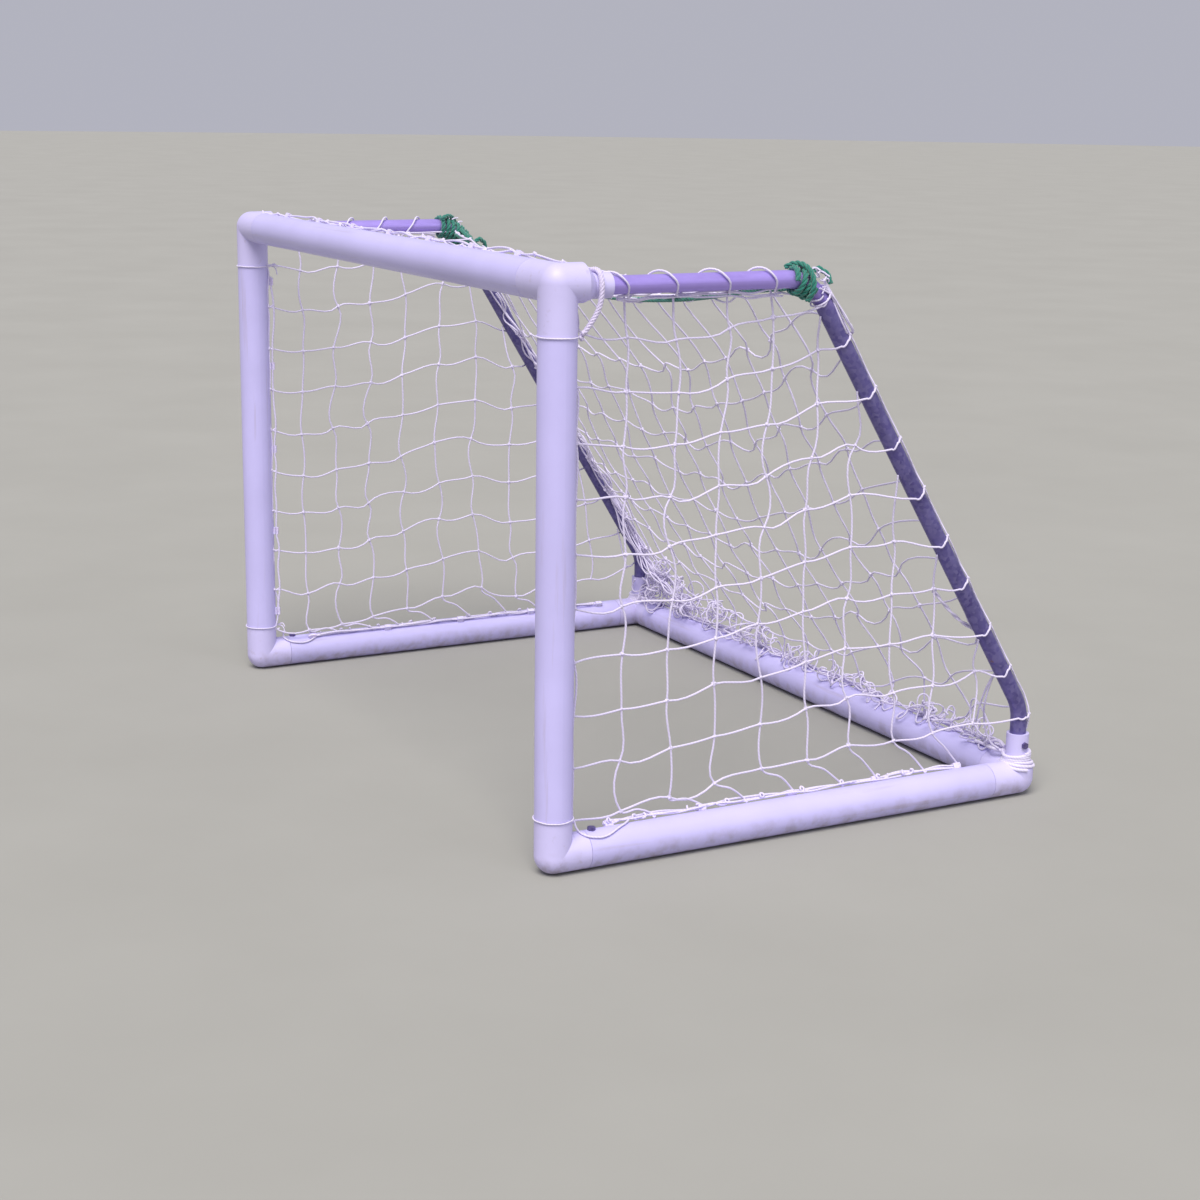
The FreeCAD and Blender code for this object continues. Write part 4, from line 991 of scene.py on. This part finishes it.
# two spare strands run beside the rope before they are tucked into it
for round_bend, apart in ((0.6, 0.010), (0.95, 0.018)):
    start = bend_spot(-1, round_bend, math.radians(150), rope_width * 0.7)
    end = Vector((-0.60, rope_y + 0.004, leg_z - 0.043))
    rope_turns.append([start, start.lerp(end, 0.3) + Vector((0, apart, -apart)),
                       start.lerp(end, 0.7) + Vector((0, apart / 2, -apart)), end])
turn_pieces = [lay_rope("turn", line, rope_width, 3, rope_pitch)[0] for line in rope_turns]
finish_piece(join_all("rope_bend_lashings", turn_pieces), rope_finish, "green_rope", "rope_lashings")

# white twine whipped round the rope's tails and hitched round the top of each fall
whipping = []
for sign in (-1, 1):
    for number in range(4 if sign < 0 else 2):
        ring = []
        start = (1.3 if sign < 0 else 0.72) + 0.12 * number
        for step in range(13):
            turn = math.radians(step * 30 + 40 * number)
            ring.append(bend_spot(sign, start + wobble(0.03) + 0.004 * step, turn, 0.0024 + abs(wobble(0.002))))
        whipping.append(ring)
    # short frayed ends
    for number in range(7):
        start = bend_spot(sign, 0.5 + wobble(0.16), math.radians(60 + wobble(50)), rope_width * 0.8)
        whipping.append([start, start + shake(0.007) + Vector((sign * 0.002, 0.004, 0.002)),
                         start + shake(0.009) + Vector((sign * 0.004, 0.009, -0.004))])
    # long hitches from the bend down on to the fall, where the side net's top row ends
    for number in range(4):
        whipping.append([bend_spot(sign, 0.62 + 0.05 * number, math.radians(10 + 18 * number), 0.005),
                         bend_spot(sign, 0.95, math.radians(52 + 14 * number), 0.003 + abs(wobble(0.003))),
                         bend_spot(sign, 1.35, math.radians(64 + 12 * number), 0.003 + abs(wobble(0.004))),
                         bend_spot(sign, 1.8, math.radians(76 + 6 * number), 0.003 + abs(wobble(0.002))),
                         fall_spot(sign, side_nets["right"]["foot"] + 0.93, 66 + 6 * number, 0.002)])
fringe = draw_lines("bend_whippings", whipping, twine_width * 0.85, smooth=4)
finish_piece(fringe, tie_finish, "tie_cord")

# ---------------------------------------------------------------- braided cord on the right top corner
# A thick white braided cord slung over the socket behind the right top corner.
# Its end hangs down inside the frame and is knotted to the upright's tie.
hanger_width = 0.010
hanger_pitch = 0.026
hanger_colour = (0.78, 0.70, 0.94)
hanger_shade = (0.38, 0.33, 0.5)
HANGER_ROUTE = [
    (-0.014, -0.017, 0.025), (0.014, -0.017, 0.031), (0.030, -0.018, 0.008), (0.031, -0.020, -0.024),
    (0.024, -0.029, -0.053), (0.016, -0.044, -0.076),
]
socket_reach = 0.096
hanger_finish = cord_finish("braided_cord_fibre", hanger_colour, hanger_shade, 0.006, 0.006, braided=True, fuzz=0.4)
hanger_line = route_line("hanger_route", HANGER_ROUTE,
                         Vector((post_x, front_y + socket_reach - hanger_width, leg_z)))
hanger, hanger_path = lay_rope("corner_hanger", hanger_line, hanger_width, 4, hanger_pitch)
finish_piece(hanger, hanger_finish, "tie_cord", "corner_hanger_cord")

hanger_knot = copy_knots(tie_knot(0.0065), [hanger_path[-1], hanger_path[-1] + Vector((-0.004, -0.004, -0.008))])
finish_piece(join_all("hanger_knot", hanger_knot), hanger_finish, "tie_cord")

# ---------------------------------------------------------------- floor, light and camera
# A plain pale floor under a broad soft overhead light and a weak fill, with an even pale surround.
# The camera stands off the right front corner, a little higher than the goal.
clean_start()
bpy.ops.mesh.primitive_circle_add(vertices=96, radius=60, fill_type="NGON", location=(0, 0, -0.0005))
floor = bpy.context.active_object
floor.name = "studio_floor"
ground, tree, shader = new_finish("pale_floor")
shade = speckle(tree, object_place(tree), 1.5, 0.3, 0.7)
tree.links.new(tint(tree, shade, (0.315, 0.31, 0.29), (0.335, 0.33, 0.31)), shader.inputs["Base Color"])
shader.inputs["Roughness"].default_value = 0.9
cover(floor, ground)

world = bpy.data.worlds.new("pale_surround")
bpy.context.scene.world = world
world.use_nodes = True
world.node_tree.nodes["Background"].inputs["Color"].default_value = (0.56, 0.565, 0.65, 1)
world.node_tree.nodes["Background"].inputs["Strength"].default_value = 0.8
bpy.context.scene.view_settings.view_transform = "Standard"

for name, energy, colour, heading in (
    ("overhead_key", 3.5, (1.0, 0.97, 0.90), (-0.5, 0.42, -1.05)),
    ("side_fill", 0.4, (0.94, 0.95, 1.0), (-1, -0.25, -0.5)),
):
    lamp = bpy.data.lights.new(name, "SUN")
    lamp.angle = math.radians(35)
    lamp.energy = energy
    lamp.color = colour
    holder = bpy.data.objects.new(name, lamp)
    holder.rotation_euler = Vector(heading).to_track_quat("-Z", "Y").to_euler()
    bpy.context.scene.collection.objects.link(holder)

camera_spot = Vector((3.948, -2.127, 1.345))
camera_heading = Vector((-0.85765, 0.45918, -0.23151))
camera_roll = Matrix.Rotation(math.radians(0.77), 3, "Z")
camera = bpy.data.objects.new("camera", bpy.data.cameras.new("camera"))
camera.data.lens = 64.31
camera.data.sensor_width = 36
camera.location = camera_spot
camera.rotation_euler = (camera_heading.to_track_quat("-Z", "Y").to_matrix() @ camera_roll).to_euler()
bpy.context.scene.collection.objects.link(camera)
bpy.context.scene.camera = camera
